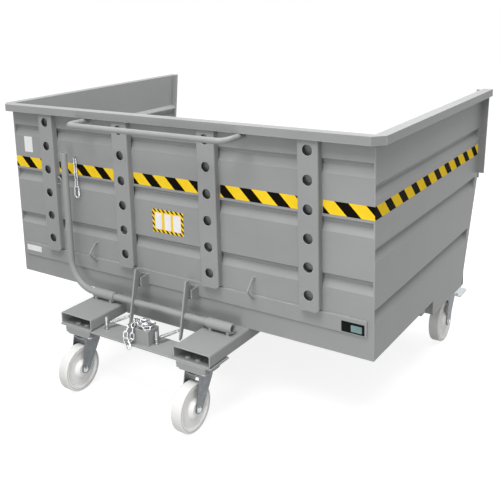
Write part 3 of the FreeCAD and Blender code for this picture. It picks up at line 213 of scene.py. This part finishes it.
EDGE_WEAR_AND_HIGHLIGHT_WIDTH = 0.004
# The last colour is the paler edge, partly rubbed wear and partly painted highlight.
grey_coat = powder_coat("grey_powder_coated_steel", "#9b9c9c", "#929393", "#d2d3d3")


# Zinc-plated steel: bright on chains, springs and bolts, matt on the pedals, duller on the forks with painted
# shade.
# Zinc is a slightly blue, cloudy metal with soft scratches from handling.
def zinc_plate(name, pale, deep, rough, edge):
    material, tree, shader = new_finish(name, {"Metallic": 1.0})
    place = put(tree, "ShaderNodeTexCoord").outputs["Object"]
    patch, colour = cloudy(tree, place, size=0.018, spots=(0.3, 0.72), codes=(deep, pale))
    tree.links.new(colour, shader.inputs["Base Color"])
    # Scratches are a few tenths of a millimetre wide and are drawn at 4 mm, as a broken sheen.
    surface(tree, shader, place, patch, gloss=(rough - 0.08, rough + 0.1), grain=0.004, strength=0.05,
            depth=0.0003, edge=edge)
    return material


bright_zinc = zinc_plate("bright_zinc_plated_steel", "#dcdedf", "#bfc2c5", rough=0.3, edge=0.0004)
# The forks' darker zinc is partly dull plating and partly painted shade, as the forks sit in shade.
dull_zinc_painted_shade = zinc_plate("dull_zinc_plated_steel_painted_shade", "#85888b", "#6f7275", rough=0.42, edge=0.0012)
pedal_zinc = zinc_plate("matt_zinc_plated_steel", "#bcbfc1", "#a6a9ac", rough=0.55, edge=0.0012)


# Wheels: cast polyamide, off-white and dull, with faint flow marks, grey in a thin ring by the tread and on
# it.
def cast_nylon(name, pale, deep, ring_grey, centre):
    material, tree, shader = new_finish(name, {"IOR": 1.53, "Subsurface Weight": 0.05,
                                               "Subsurface Scale": 0.003})
    place = put(tree, "ShaderNodeTexCoord").outputs["Object"]
    # Flow marks are 50 mm long; the grain of the mould is under 1 mm and is drawn at 6 mm, the line at 2 mm.
    patch, colour = cloudy(tree, place, size=0.05, spots=(0.3, 0.68), codes=(deep, pale))
    offset = put(tree, "ShaderNodeVectorMath", {"operation": "SUBTRACT", 1: centre}, {0: place})
    upright = put(tree, "ShaderNodeVectorMath", {"operation": "MULTIPLY", 1: (0, 1, 1)},
                  {0: offset.outputs[0]})
    radius = put(tree, "ShaderNodeVectorMath", {"operation": "LENGTH"}, {0: upright.outputs[0]})
    reach = radius.outputs["Value"]
    # A grey ring 2 mm wide near the tread, and a colour that greys from 86 mm radius out over the tread.
    line = put(tree, "ShaderNodeMath", {"operation": "COMPARE", 1: LINE_RADIUS, 2: LINE_HALF}, {0: reach})
    tread_greying = put(tree, "ShaderNodeMapRange",
                {"From Min": TREAD_FROM, "From Max": TREAD_RADIUS, "To Max": TREAD_GREYING}, {"Value": reach})
    greyed_share = put(tree, "ShaderNodeMath", {"operation": "MAXIMUM"},
                 {0: line.outputs[0], 1: tread_greying.outputs["Result"]})
    lined = put(tree, "ShaderNodeMix", {"data_type": "RGBA", 7: tint(ring_grey)},
                {0: greyed_share.outputs[0], 6: colour})
    tree.links.new(lined.outputs[2], shader.inputs["Base Color"])
    surface(tree, shader, place, patch, gloss=(0.45, 0.62), grain=0.006, strength=0.05,
            depth=0.0004, edge=0.0015)
    return material


LINE_RADIUS, LINE_HALF = 0.0815, 0.001
TREAD_FROM, TREAD_RADIUS, TREAD_GREYING = 0.086, 0.090, 0.45
CORNERS = ("rear_left", "rear_right", "front_left", "front_right")
own_finish = {}
for corner in CORNERS:
    hub = sum(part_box("wheel_" + corner), Vector()) / 2
    own_finish["wheel_" + corner] = cast_nylon("white_cast_polyamide_" + corner,
                                               "#fafaf8", "#f0f0ed", "#b4b4b0", hub)

# Solids: every solid of the frame takes a finish of its own where it has one, as wheels, forks and pedals do,
# and otherwise the paint or the bright zinc of its slot.
SLOT_FINISH = {"grey_paint": grey_coat, "zinc_steel": bright_zinc}
own_finish.update({"fork_" + corner: dull_zinc_painted_shade for corner in CORNERS})
own_finish.update({"brake_pedal_" + side: pedal_zinc for side in ("left", "right")})
for entry in frame["record"]["subparts"]:
    node = frame["nodes"][entry["node"]]
    node.data.materials.clear()
    node.data.materials.append(own_finish.get(entry["node"]) or SLOT_FINISH[entry["material_slot"]])


# Hazard tape: printed vinyl film, yellow with black bars at 45 degrees, stuck on the flat of the walls
# between the grooves. It stops at each stiffener and goes round the corners.
def hazard_film(name, along, sign, pitch, start):
    material, tree, shader = new_finish(name, {"IOR": 1.46, "Specular IOR Level": 0.005})
    place = put(tree, "ShaderNodeTexCoord").outputs["Object"]
    axes = put(tree, "ShaderNodeSeparateXYZ", None, {"Vector": place})
    run = put(tree, "ShaderNodeMath", {"operation": "MULTIPLY", 1: sign}, {0: axes.outputs[along]})
    slant = put(tree, "ShaderNodeMath", {"operation": "ADD"}, {0: run.outputs[0], 1: axes.outputs["Z"]})
    turns = put(tree, "ShaderNodeMath", {"operation": "MULTIPLY_ADD", 1: 1 / pitch, 2: -start / pitch},
                {0: slant.outputs[0]})
    share = put(tree, "ShaderNodeMath", {"operation": "FRACT"}, {0: turns.outputs[0]})
    black = put(tree, "ShaderNodeMath", {"operation": "LESS_THAN", 1: BAR_SHARE}, {0: share.outputs[0]})
    # The yellow ink fades in patches of about 30 mm.
    wear, yellow = cloudy(tree, place, size=0.03, spots=(0.3, 0.7), codes=("#f5cd28", "#fad534"))
    print_colour = put(tree, "ShaderNodeMix", {"data_type": "RGBA", 7: tint("#17130f")},
                       {0: black.outputs[0], 6: yellow})
    tree.links.new(print_colour.outputs[2], shader.inputs["Base Color"])
    gloss = put(tree, "ShaderNodeMapRange", {"To Min": 0.32, "To Max": 0.46}, {"Value": wear})
    tree.links.new(gloss.outputs["Result"], shader.inputs["Roughness"])
    return material


def plate(x_span, z_span, back, thick, corner):
    """A thin upright plate on the rear side, between two x and two z values, with rounded corners."""
    bm = bmesh.new()
    bmesh.ops.create_grid(bm, x_segments=1, y_segments=1, size=0.5)
    bmesh.ops.scale(bm, vec=(x_span[1] - x_span[0], z_span[1] - z_span[0], 1), verts=bm.verts)
    bmesh.ops.bevel(bm, geom=bm.verts[:], offset=corner, segments=4, profile=0.5, affect="VERTICES",
                    material=-1)
    raised = bmesh.ops.extrude_face_region(bm, geom=bm.faces[:], use_keep_orig=True)
    tops = [v for v in raised["geom"] if isinstance(v, bmesh.types.BMVert)]
    bmesh.ops.translate(bm, vec=(0, 0, thick), verts=tops)
    bmesh.ops.rotate(bm, cent=(0, 0, 0), matrix=Matrix.Rotation(math.pi / 2, 3, "X"), verts=bm.verts)
    bmesh.ops.translate(bm, vec=(sum(x_span) / 2, back, sum(z_span) / 2), verts=bm.verts)
    return bm


def dress(piece, body, material):
    """Give a piece its finish and let it move with a body."""
    piece.data.materials.append(material)
    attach(piece, body)
    return piece


BAR_SHARE = 0.45
BAR_PITCH, SIDE_BAR_PITCH = 0.113, 0.116
TAPE_LEVELS = (0.787, 0.833)
TAPE_THICK, TAPE_CORNER, TAPE_GAP = 0.0004, 0.001, 0.003
TAPE_LONG = 1.105
rear_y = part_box("rear_wall")[0].y
side_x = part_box("side_wall_right")[1].x
stiffeners = [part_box("stiffener_" + str(n)) for n in (1, 2, 3, 4)]
tape_ends = [x for low, high in stiffeners for x in (low.x - TAPE_GAP, high.x + TAPE_GAP)]
tape_ends = [-side_x] + tape_ends + [side_x]
# Each strip was cut from the roll by itself, so its bars start at a place of their own.
STRIP_STARTS = (0.811, 0.907, 0.826, 0.827, 0.862)
for number, start in enumerate(STRIP_STARTS):
    strip = plate(tape_ends[number * 2:number * 2 + 2], TAPE_LEVELS, rear_y, TAPE_THICK, TAPE_CORNER)
    film = hazard_film("hazard_vinyl_" + str(number + 1), "X", 1, BAR_PITCH, start)
    dress(solid("rear_tape_" + str(number + 1), strip), "tub", film)
SIDE_START = 0.847
for side, sign in (("right", 1), ("left", -1)):
    ends = sorted((rear_y * sign, (rear_y + TAPE_LONG) * sign))
    strip = plate(ends, TAPE_LEVELS, 0, TAPE_THICK, TAPE_CORNER)
    sideways = Matrix.Rotation(sign * math.pi / 2, 3, "Z")
    bmesh.ops.rotate(strip, cent=(0, 0, 0), matrix=sideways, verts=strip.verts)
    bmesh.ops.translate(strip, vec=(sign * side_x, 0, 0), verts=strip.verts)
    start = SIDE_START if sign > 0 else SIDE_START - 2 * rear_y
    film = hazard_film("hazard_vinyl_" + side, "Y", sign, SIDE_BAR_PITCH, start)
    dress(solid("side_tape_" + side, strip), "tub", film)


# Stickers: blank vinyl film on the flats of the rear wall and on the foot strip. The panel in the middle is
# yellow with a border of short black bars and three white patches, and the plate at the right is black.
def vinyl(name, pale, deep):
    material, tree, shader = new_finish(name, {"IOR": 1.46, "Specular IOR Level": 0.06})
    place = put(tree, "ShaderNodeTexCoord").outputs["Object"]
    patch, colour = cloudy(tree, place, size=0.02, spots=(0.3, 0.7), codes=(deep, pale))
    tree.links.new(colour, shader.inputs["Base Color"])
    # The film follows the waviness of the paint below, 1.5 mm long and drawn at 4 mm.
    surface(tree, shader, place, patch, gloss=(0.34, 0.48), grain=0.004, strength=0.05,
            depth=0.0002, edge=0.0002)
    return material


FILM_THICK, FILM_CORNER = 0.0003, 0.002
white_vinyl = vinyl("white_vinyl_film", "#f0eff0", "#e6e5e7")
yellow_vinyl = vinyl("yellow_vinyl_film", "#f6d045", "#efc638")
black_vinyl = vinyl("black_vinyl_film", "#131716", "#0d100f")
teal_vinyl = vinyl("grey_green_vinyl_film", "#7f9a98", "#738e8c")
strip_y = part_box("foot_strip")[0].y
PANEL_X, PANEL_Z = (-0.078, 0.074), (0.606, 0.699)
PANEL_BORDER, PANEL_BAR_PITCH, PANEL_START = 0.011, 0.0215, 0.0
panel_film = hazard_film("hazard_vinyl_panel", "X", 1, PANEL_BAR_PITCH, PANEL_START)
field_x = (PANEL_X[0] + PANEL_BORDER, PANEL_X[1] - PANEL_BORDER)
field_z = (PANEL_Z[0] + PANEL_BORDER, PANEL_Z[1] - PANEL_BORDER)
PATCHES_X, PATCHES_Z = ((-0.063, -0.031), (-0.017, 0.013), (0.025, 0.061)), (0.619, 0.684)
# Each film's name, its span in x and in z, the face it is stuck on and its finish.
FILMS = [("wall_sticker", (-0.790, -0.740), (0.856, 0.925), rear_y, white_vinyl),
         ("panel_border", PANEL_X, PANEL_Z, rear_y, panel_film),
         ("panel_field", field_x, field_z, rear_y - FILM_THICK, yellow_vinyl),
         ("strip_sticker", (-0.822, -0.730), (0.403, 0.429), strip_y, white_vinyl),
         ("strip_plate", (0.735, 0.819), (0.387, 0.425), strip_y, black_vinyl),
         ("strip_plate_field", (0.770, 0.810), (0.392, 0.416), strip_y - FILM_THICK, teal_vinyl)]
FILMS += [("panel_patch_" + str(n + 1), span, PATCHES_Z, rear_y - 2 * FILM_THICK, white_vinyl)
          for n, span in enumerate(PATCHES_X)]
for name, x_span, z_span, back, film in FILMS:
    dress(solid(name, plate(x_span, z_span, back, FILM_THICK, FILM_CORNER)), "tub", film)


# Weld beads: stitches of filler metal under the paint, where stiffeners, foot strip, handle, rope hooks and
# catches meet the wall. Each is a row of overlapping dabs, as the torch leaves them.
def section_ring(bm, radius, sides, matrix):
    """The round section of a bar, as the vertices and edges that a sweep starts from."""
    ring = bmesh.ops.create_circle(bm, segments=sides, radius=radius, matrix=matrix)["verts"]
    return ring + list(dict.fromkeys(edge for vert in ring for edge in vert.link_edges))


def hoop(bm, radius, sides, matrix, centre, axis, steps):
    """A closed ring of round bar: its section goes once round an axis."""
    ring = section_ring(bm, radius, sides, matrix)
    bmesh.ops.spin(bm, geom=ring, cent=centre, axis=axis, angle=2 * math.pi, steps=steps, use_merge=True)


def bead(bm, start, end):
    """A tube that swells once for each dab of filler, closed at both ends."""
    run = end - start
    steps = 2 * max(LEAST_DABS, round(run.length / DAB_PITCH))
    begin = Matrix.Translation(start) @ run.to_track_quat("Z", "Y").to_matrix().to_4x4()
    ring = section_ring(bm, BEAD_RADIUS * BEAD_TIP, BEAD_SIDES, begin)
    first = edges = [g for g in ring if isinstance(g, bmesh.types.BMEdge)]
    for number in range(1, steps + 1):
        grown = bmesh.ops.extrude_edge_only(bm, edges=edges)["geom"]
        ring = [g for g in grown if isinstance(g, bmesh.types.BMVert)]
        edges = [g for g in grown if isinstance(g, bmesh.types.BMEdge)]
        bmesh.ops.translate(bm, vec=run / steps, verts=ring)
        share = 1.0 if number % 2 else BEAD_WAIST
        share = BEAD_TIP if number == steps else share
        middle = sum((v.co for v in ring), Vector()) / len(ring)
        swell = BEAD_RADIUS * share / (ring[0].co - middle).length
        bmesh.ops.scale(bm, vec=(swell, swell, swell), verts=ring, space=Matrix.Translation(-middle))
    bmesh.ops.holes_fill(bm, edges=first + edges, sides=BEAD_SIDES)


def weld_group(name, middles, along):
    """Beads of one length and direction, one at each of the given middles."""
    bm = bmesh.new()
    half = Vector(along) / 2
    for middle in middles:
        bead(bm, Vector(middle) - half, Vector(middle) + half)
    dress(solid(name, bm, smooth=True), "tub", grey_coat)


BEAD_RADIUS, BEAD_SIDES = 0.0034, 8
# The bead's radius at the waist between two dabs and at its ends, as shares of its full radius.
BEAD_WAIST, BEAD_TIP = 0.72, 0.55
DAB_PITCH, LEAST_DABS = 1.2 * BEAD_RADIUS, 3
STITCH = 0.026
STITCH_LEVELS = (1.008, 0.905, 0.855, 0.705, 0.610, 0.505, 0.455)
for number, (low, high) in enumerate(stiffeners):
    middles = [(x, rear_y, z) for x in (low.x, high.x) for z in STITCH_LEVELS]
    weld_group("stiffener_welds_" + str(number + 1), middles, (0, 0, STITCH))
STRIP_SPOTS = [-0.745, -0.415, 0.0, 0.415, 0.745]
STRIP_STITCH, STRIP_STAND = 0.040, 0.002
strip_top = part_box("foot_strip")[1].z
spots = [x + side * STRIP_STITCH for low, high in stiffeners for x, side in ((low.x, -1), (high.x, 1))]
middles = [(x, rear_y - STRIP_STAND, strip_top) for x in spots + STRIP_SPOTS]
weld_group("strip_welds", middles, (STRIP_STITCH, 0, 0))

HANDLE_ENDS, HANDLE_LEVEL, HANDLE_RADIUS = (-0.384, 0.360), 1.025, 0.011
ROPE_X, ROPE_TOP, ROPE_LOW, ROPE_RADIUS = 0.388, 0.505, 0.431, 0.004
# A thicker rod has a thicker weld, which lies a little outside the rod.
ROD_WELD, ROD_WELD_SHARE, ROD_WELD_OUT = 0.0016, 1 / 8, 0.001
rod_ends = [(x, rear_y, HANDLE_LEVEL, HANDLE_RADIUS) for x in HANDLE_ENDS]
rod_ends += [(x, y, z, ROPE_RADIUS) for x in (-ROPE_X, ROPE_X)
             for y, z in ((rear_y, ROPE_TOP), (strip_y, ROPE_LOW))]
rings = bmesh.new()
for x, y, z, radius in rod_ends:
    hoop(rings, ROD_WELD + radius * ROD_WELD_SHARE, BEAD_SIDES,
         Matrix.Translation((x + radius + ROD_WELD_OUT, y, z)), (x, y, z), (0, 1, 0), steps=24)
dress(solid("rod_welds", rings, smooth=True), "tub", grey_coat)
CATCH_STITCH, CATCH_LEVEL = 0.040, 0.400
catch_edges = [corner.x for side in ("left", "right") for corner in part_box("catch_" + side)]
weld_group("catch_welds", [(x, strip_y, CATCH_LEVEL) for x in catch_edges], (0, 0, CATCH_STITCH))

# Lever eye: a bent round bar welded on the side of the first stiffener, beside the lever, for the snap hook
# of the lock chain. It is painted with the wall.
EYE_LEVEL, EYE_HALF, EYE_ROD, EYE_LEG, EYE_SIDES = 0.753, 0.015, 0.003, 0.007, 10
low, high = stiffeners[0]
eye_foot = Vector((high.x, (low.y + high.y) / 2, EYE_LEVEL))
eye = bmesh.new()
begin = Matrix.Translation(eye_foot + Vector((0, 0, EYE_HALF))) @ Matrix.Rotation(math.pi / 2, 4, "Y")
ring = section_ring(eye, EYE_ROD, EYE_SIDES, begin)
# The bar leaves the stiffener, bends round half a turn and goes back.
for degrees, reach in ((0, EYE_LEG), (180, 0), (0, -EYE_LEG)):
    swept = bmesh.ops.spin(eye, geom=ring, cent=eye_foot + Vector((EYE_LEG, 0, 0)), axis=(0, 1, 0),
                           dvec=(reach, 0, 0), angle=math.radians(degrees), steps=12 if degrees else 1)
    ring = [g for g in swept["geom_last"] if not isinstance(g, bmesh.types.BMFace)]
bmesh.ops.holes_fill(eye, edges=eye.edges, sides=EYE_SIDES)
dress(solid("lever_eye", eye, smooth=True), "tub", grey_coat)

# Return springs: tension springs of zinc-plated spring wire, one for each hook. The wire makes a loop round
# its post on the bridge plate, runs into close turns, and ends in a loop round the stud on the hook's tail.
POST_LOOP, STUD_LOOP, WIRE, WIRE_SIDES = 0.0075, 0.0055, 0.0012, 8
NECK, CURL, SPRING_TURNS = 0.0024, 0.0022, 26
POST_SHIFT, POST_Y, STUD_SHIFT, STUD_Y, SPRING_LEVEL = -0.041, -0.609, -0.010, -0.5139, 0.276
HOOK_X = 0.124
LOOP_SLANT, SWEEP_STEP = math.radians(30), 24
# Degrees of wire in a loop, in the lead from it and in the kink before the turns.
LOOP, LEAD, KINK = 300, 60, 90
for side, sign in (("left", -1), ("right", 1)):
    post = Vector((sign * HOOK_X + POST_SHIFT, POST_Y, SPRING_LEVEL))
    stud = Vector((sign * HOOK_X + STUD_SHIFT, STUD_Y, SPRING_LEVEL))
    run = stud - post
    near = 2 * POST_LOOP * math.cos(LOOP_SLANT)
    far = run.length - 2 * STUD_LOOP * math.cos(LOOP_SLANT)
    lap = math.pi - math.atan(NECK / CURL)
    slip = math.atan2(CURL * (1 - math.cos(lap)), NECK + CURL * math.sin(lap))
    # Each move turns the end of the wire about a centre and an axis; the turns also climb along the spring.
    moves = [((0, 0, 0), "Z", LOOP, 0), ((near, -POST_LOOP, 0), "Z", -LEAD, 0),
             ((near, 0, NECK), "Y", -KINK, 0), ((near + NECK, CURL, NECK), "X", -math.degrees(lap), 0),
             ((0, 0, 0), "X", -360 * SPRING_TURNS + 2 * math.degrees(slip), far - near - 2 * NECK),
             ((far - NECK, -CURL, NECK), "X", -math.degrees(lap), 0), ((far, 0, NECK), "Y", -KINK, 0),
             ((far, 0, STUD_LOOP), "Y", -LEAD, 0), ((run.length, 0, 0), "Y", LOOP, 0)]
    wire = bmesh.new()
    begin = Matrix.Translation((POST_LOOP, 0, 0)) @ Matrix.Rotation(math.pi / 2, 4, "X")
    ring = section_ring(wire, WIRE, WIRE_SIDES, Matrix.Rotation(LOOP_SLANT, 4, "Z") @ begin)
    for centre, axis, degrees, climb in moves:
        steps = math.ceil(abs(degrees) / SWEEP_STEP)
        swept = bmesh.ops.spin(wire, geom=ring, cent=centre, axis=[float(axis == a) for a in "XYZ"],
                               dvec=(climb / steps, 0, 0), angle=math.radians(degrees), steps=steps)
        ring = [g for g in swept["geom_last"] if not isinstance(g, bmesh.types.BMFace)]
    bmesh.ops.holes_fill(wire, edges=wire.edges, sides=WIRE_SIDES)
    along = run.normalized()
    across = Vector((0, 0, 1)).cross(along)
    aim = Matrix((along, across, (0, 0, 1))).transposed().to_4x4()
    bmesh.ops.transform(wire, matrix=Matrix.Translation(post) @ aim, verts=wire.verts)
    spring = solid("return_spring_" + side, wire, smooth=True)
    spring.data.materials.append(bright_zinc)
    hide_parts("spring_" + side)
    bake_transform(spring)


# Safety chain: welded links of zinc-plated wire. The slack lies in a heap on the chain box, goes over its
# front edge and ends by the snap hook, whose spring gate is a sleeve on a hinge rivet.
def oval_link(inner_long, inner_wide, wire):
    """A welded link along X: a full ring of wire, drawn out to its length."""
    bm = bmesh.new()
    bend, reach = inner_wide / 2 + wire, (inner_long - inner_wide) / 2
    # The first section stands half a step off X, so that none lies where the ring is drawn apart.
    off = Matrix.Rotation(math.pi / LINK_STEPS, 4, "Z")
    begin = off @ Matrix.Translation((bend, 0, 0)) @ Matrix.Rotation(math.pi / 2, 4, "X")
    hoop(bm, wire, WIRE_SIDES, begin, (0, 0, 0), (0, 0, 1), steps=LINK_STEPS)
    for side in (1, -1):
        bmesh.ops.translate(bm, vec=(side * reach, 0, 0), verts=[v for v in bm.verts if v.co.x * side > 0])
    shape = bpy.data.meshes.new("link_shape")
    bm.to_mesh(shape)
    bm.free()
    return shape


def set_in(bm, shape, matrix):
    """Add a copy of a mesh to a bmesh, at its place."""
    before = len(bm.verts)
    bm.from_mesh(shape)
    bmesh.ops.transform(bm, matrix=matrix, verts=list(bm.verts)[before:])


def lay(centre, along, roll):
    """The place of a link whose length points along, turned about its length."""
    level = Vector((along.y, -along.x, 0))
    level = level.normalized() if level.length > 1e-6 else Vector((1, 0, 0))
    aim = Matrix((along, level, along.cross(level))).transposed().to_4x4()
    return Matrix.Translation(centre) @ aim @ Matrix.Rotation(roll, 4, "X")


def bar(bm, matrix, radius, length, sides, ease):
    """A bar of so many sides along local Z, with the edges of its two ends eased."""
    centre = matrix @ Matrix.Translation((0, 0, length / 2))
    made = bmesh.ops.create_cone(bm, cap_ends=True, segments=sides, radius1=radius, radius2=radius,
                                 depth=length, matrix=centre)["verts"]
    edges = dict.fromkeys(edge for vert in made for edge in vert.link_edges)
    rims = [edge for edge in edges if any(len(face.verts) == sides for face in edge.link_faces)]
    bmesh.ops.bevel(bm, geom=rims, offset=ease, segments=2, profile=0.5, affect="EDGES", material=-1)


LINK_STEPS, LINK_ROLL = 16, math.radians(45)
LINK_LONG, LINK_WIDE, LINK_WIRE, LINK_PITCH = 0.022, 0.009, 0.0025, 0.0214
# Where each run of links starts, then the compass direction of each link in degrees and how steeply it falls.
# The first run goes on from the laid chain to the hook, and the second is a coil that lies on it.
HEAP_RUNS = (((0.059, -0.600, 0.3188), ((285, 0), (225, 0), (170, -15), (120, -15), (80, 0), (150, 15),
                                        (215, 15), (265, -25), (300, 0), (300, 30), (270, 75), (262, 86),
                                        (190, 42))),
             ((0.066, -0.594, 0.3270), ((200, 0), (165, -10), (230, 0), (290, 0), (350, 0), (40, -10),
                                        (100, 0), (170, 10), (215, 15))))
heap = bmesh.new()
link_shape = oval_link(LINK_LONG, LINK_WIDE, LINK_WIRE)
for start, turns in HEAP_RUNS:
    spot = Vector(start)
    for number, (compass, fall) in enumerate(turns):
        a, f = math.radians(compass), math.radians(fall)
        way = Vector((math.cos(a) * math.cos(f), math.sin(a) * math.cos(f), -math.sin(f)))
        roll = -LINK_ROLL if number % 2 else LINK_ROLL
        set_in(heap, link_shape, lay(spot + way * LINK_PITCH / 2, way, roll))
        spot = spot + way * LINK_PITCH
bpy.data.meshes.remove(link_shape)
dress(solid("chain_heap", heap, smooth=True), "chassis", bright_zinc)

HOOK_LONG, HOOK_WIDE, HOOK_WIRE = 0.042, 0.018, 0.003
GATE_LONG, GATE_RADIUS, GATE_EASE = 0.022, 0.0042, 0.0008
RIVET_LONG, RIVET_RADIUS, RIVET_EASE = 0.0104, 0.0018, 0.0004


def add_gate(bm, place):
    """The sleeve that closes a snap hook, and its rivet, on the hook's side at +Y of a link's place."""
    side = place @ Matrix.Translation((0, HOOK_WIDE / 2 + HOOK_WIRE, 0))
    sleeve = side @ Matrix.Translation((-GATE_LONG / 2, 0, 0)) @ Matrix.Rotation(math.pi / 2, 4, "Y")
    bar(bm, sleeve, GATE_RADIUS, GATE_LONG, sides=16, ease=GATE_EASE)
    rivet = side @ Matrix.Translation((GATE_LONG / 2 - RIVET_RADIUS * 2, 0, -RIVET_LONG / 2))
    bar(bm, rivet, RIVET_RADIUS, RIVET_LONG, sides=12, ease=RIVET_EASE)


HOOK_CENTRE, HOOK_TILT = Vector((-0.0025, -0.6729, 0.262)), math.radians(25)
hook_way = Vector((math.sin(HOOK_TILT), 0, -math.cos(HOOK_TILT)))
hook_aim = Matrix((hook_way, hook_way.cross((0, 1, 0)), (0, 1, 0))).transposed().to_4x4()
hook_place = Matrix.Translation(HOOK_CENTRE) @ hook_aim
hook = bmesh.new()
hook_shape = oval_link(HOOK_LONG, HOOK_WIDE, HOOK_WIRE)
set_in(hook, hook_shape, hook_place)
bpy.data.meshes.remove(hook_shape)
add_gate(hook, hook_place)
safety_hook = dress(solid("safety_hook", hook), "chassis", bright_zinc)
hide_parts("snap_hook")

# Lever-lock chain: hangs from its eye on the rear wall and ends in a snap hook like the first. Its wire is
# the chain's last ring, and the gate closes it at the side.
LOCK_RING = Vector((-0.475, -0.420, 0.7128))
lock_gate = bmesh.new()
add_gate(lock_gate, lay(LOCK_RING, Vector((0, 0, -1)), 0))
dress(solid("lock_gate", lock_gate), "tub", bright_zinc)

# Casters: bolted on with zinc-plated hexagon bolts through the corners of each top plate. Each wheel turns on
# an axle bolt with a washer and a hexagon at both ends, and two more bolts hold each sleeve at its mouth.
HEAD_RADIUS, HEAD_THICK, HEAD_EASE = 0.0098, 0.0062, 0.0006
WASHER_RADIUS, WASHER_THICK = 0.0118, 0.0018


def bolt_head(bm, matrix):
    """A washer with a hexagon head on it, along local Z."""
    bar(bm, matrix, WASHER_RADIUS, WASHER_THICK, sides=24, ease=HEAD_EASE / 2)
    on_washer = matrix @ Matrix.Translation((0, 0, WASHER_THICK))
    bar(bm, on_washer, HEAD_RADIUS, HEAD_THICK - WASHER_THICK, sides=6, ease=HEAD_EASE)


BOLT_X, BOLT_Y, PLATE_THICK = 0.044, 0.030, 0.005
# The rolled lip of the ball race shows as a bright ring under the top plate.
RACE_RADIUS, RACE_LIP, RACE_DROP, RACE_SIDES = 0.0385, 0.0022, 0.0045, 10
AXLE_RADIUS, FORK_OUTSIDE, AXLE_HALF = 0.006, 0.034, 0.042
downwards = Matrix.Rotation(math.pi, 4, "X")
for corner in CORNERS:
    low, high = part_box("caster_plate_" + corner)
    middle = (low + high) / 2
    underside = high.z - PLATE_THICK
    bolts = bmesh.new()
    for x in (-BOLT_X, BOLT_X):
        for y in (-BOLT_Y, BOLT_Y):
            bolt_head(bolts, Matrix.Translation((middle.x + x, middle.y + y, underside)) @ downwards)
    dress(solid("plate_bolts_" + corner, bolts), "chassis", bright_zinc)
    race = bmesh.new()
    lip = Matrix.Translation((middle.x + RACE_RADIUS, middle.y, underside - RACE_DROP))
    hoop(race, RACE_LIP, RACE_SIDES, lip @ Matrix.Rotation(math.pi / 2, 4, "X"), middle, (0, 0, 1), steps=48)
    dress(solid("race_lip_" + corner, race, smooth=True), "chassis", bright_zinc)
    low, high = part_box("axle_" + corner)
    axle = bmesh.new()
    for turn in (math.pi / 2, -math.pi / 2):
        outwards = Matrix.Translation((low + high) / 2) @ Matrix.Rotation(turn, 4, "Y")
        bar(axle, outwards, AXLE_RADIUS, AXLE_HALF, sides=16, ease=HEAD_EASE)
        bolt_head(axle, outwards @ Matrix.Translation((0, 0, FORK_OUTSIDE)))
    axle_bolt = dress(solid("axle_bolt_" + corner, axle), "swivel_" + corner, bright_zinc)
    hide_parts("axle_" + corner)
SLEEVE_BOLTS_X, SLEEVE_BOLTS_Y, SLEEVE_FLOOR = (0.247, 0.292), -0.633, 0.257
bolts = bmesh.new()
for x in SLEEVE_BOLTS_X:
    for sign in (1, -1):
        bolt_head(bolts, Matrix.Translation((sign * x, SLEEVE_BOLTS_Y, SLEEVE_FLOOR)))
dress(solid("sleeve_bolts", bolts), "chassis", grey_coat)
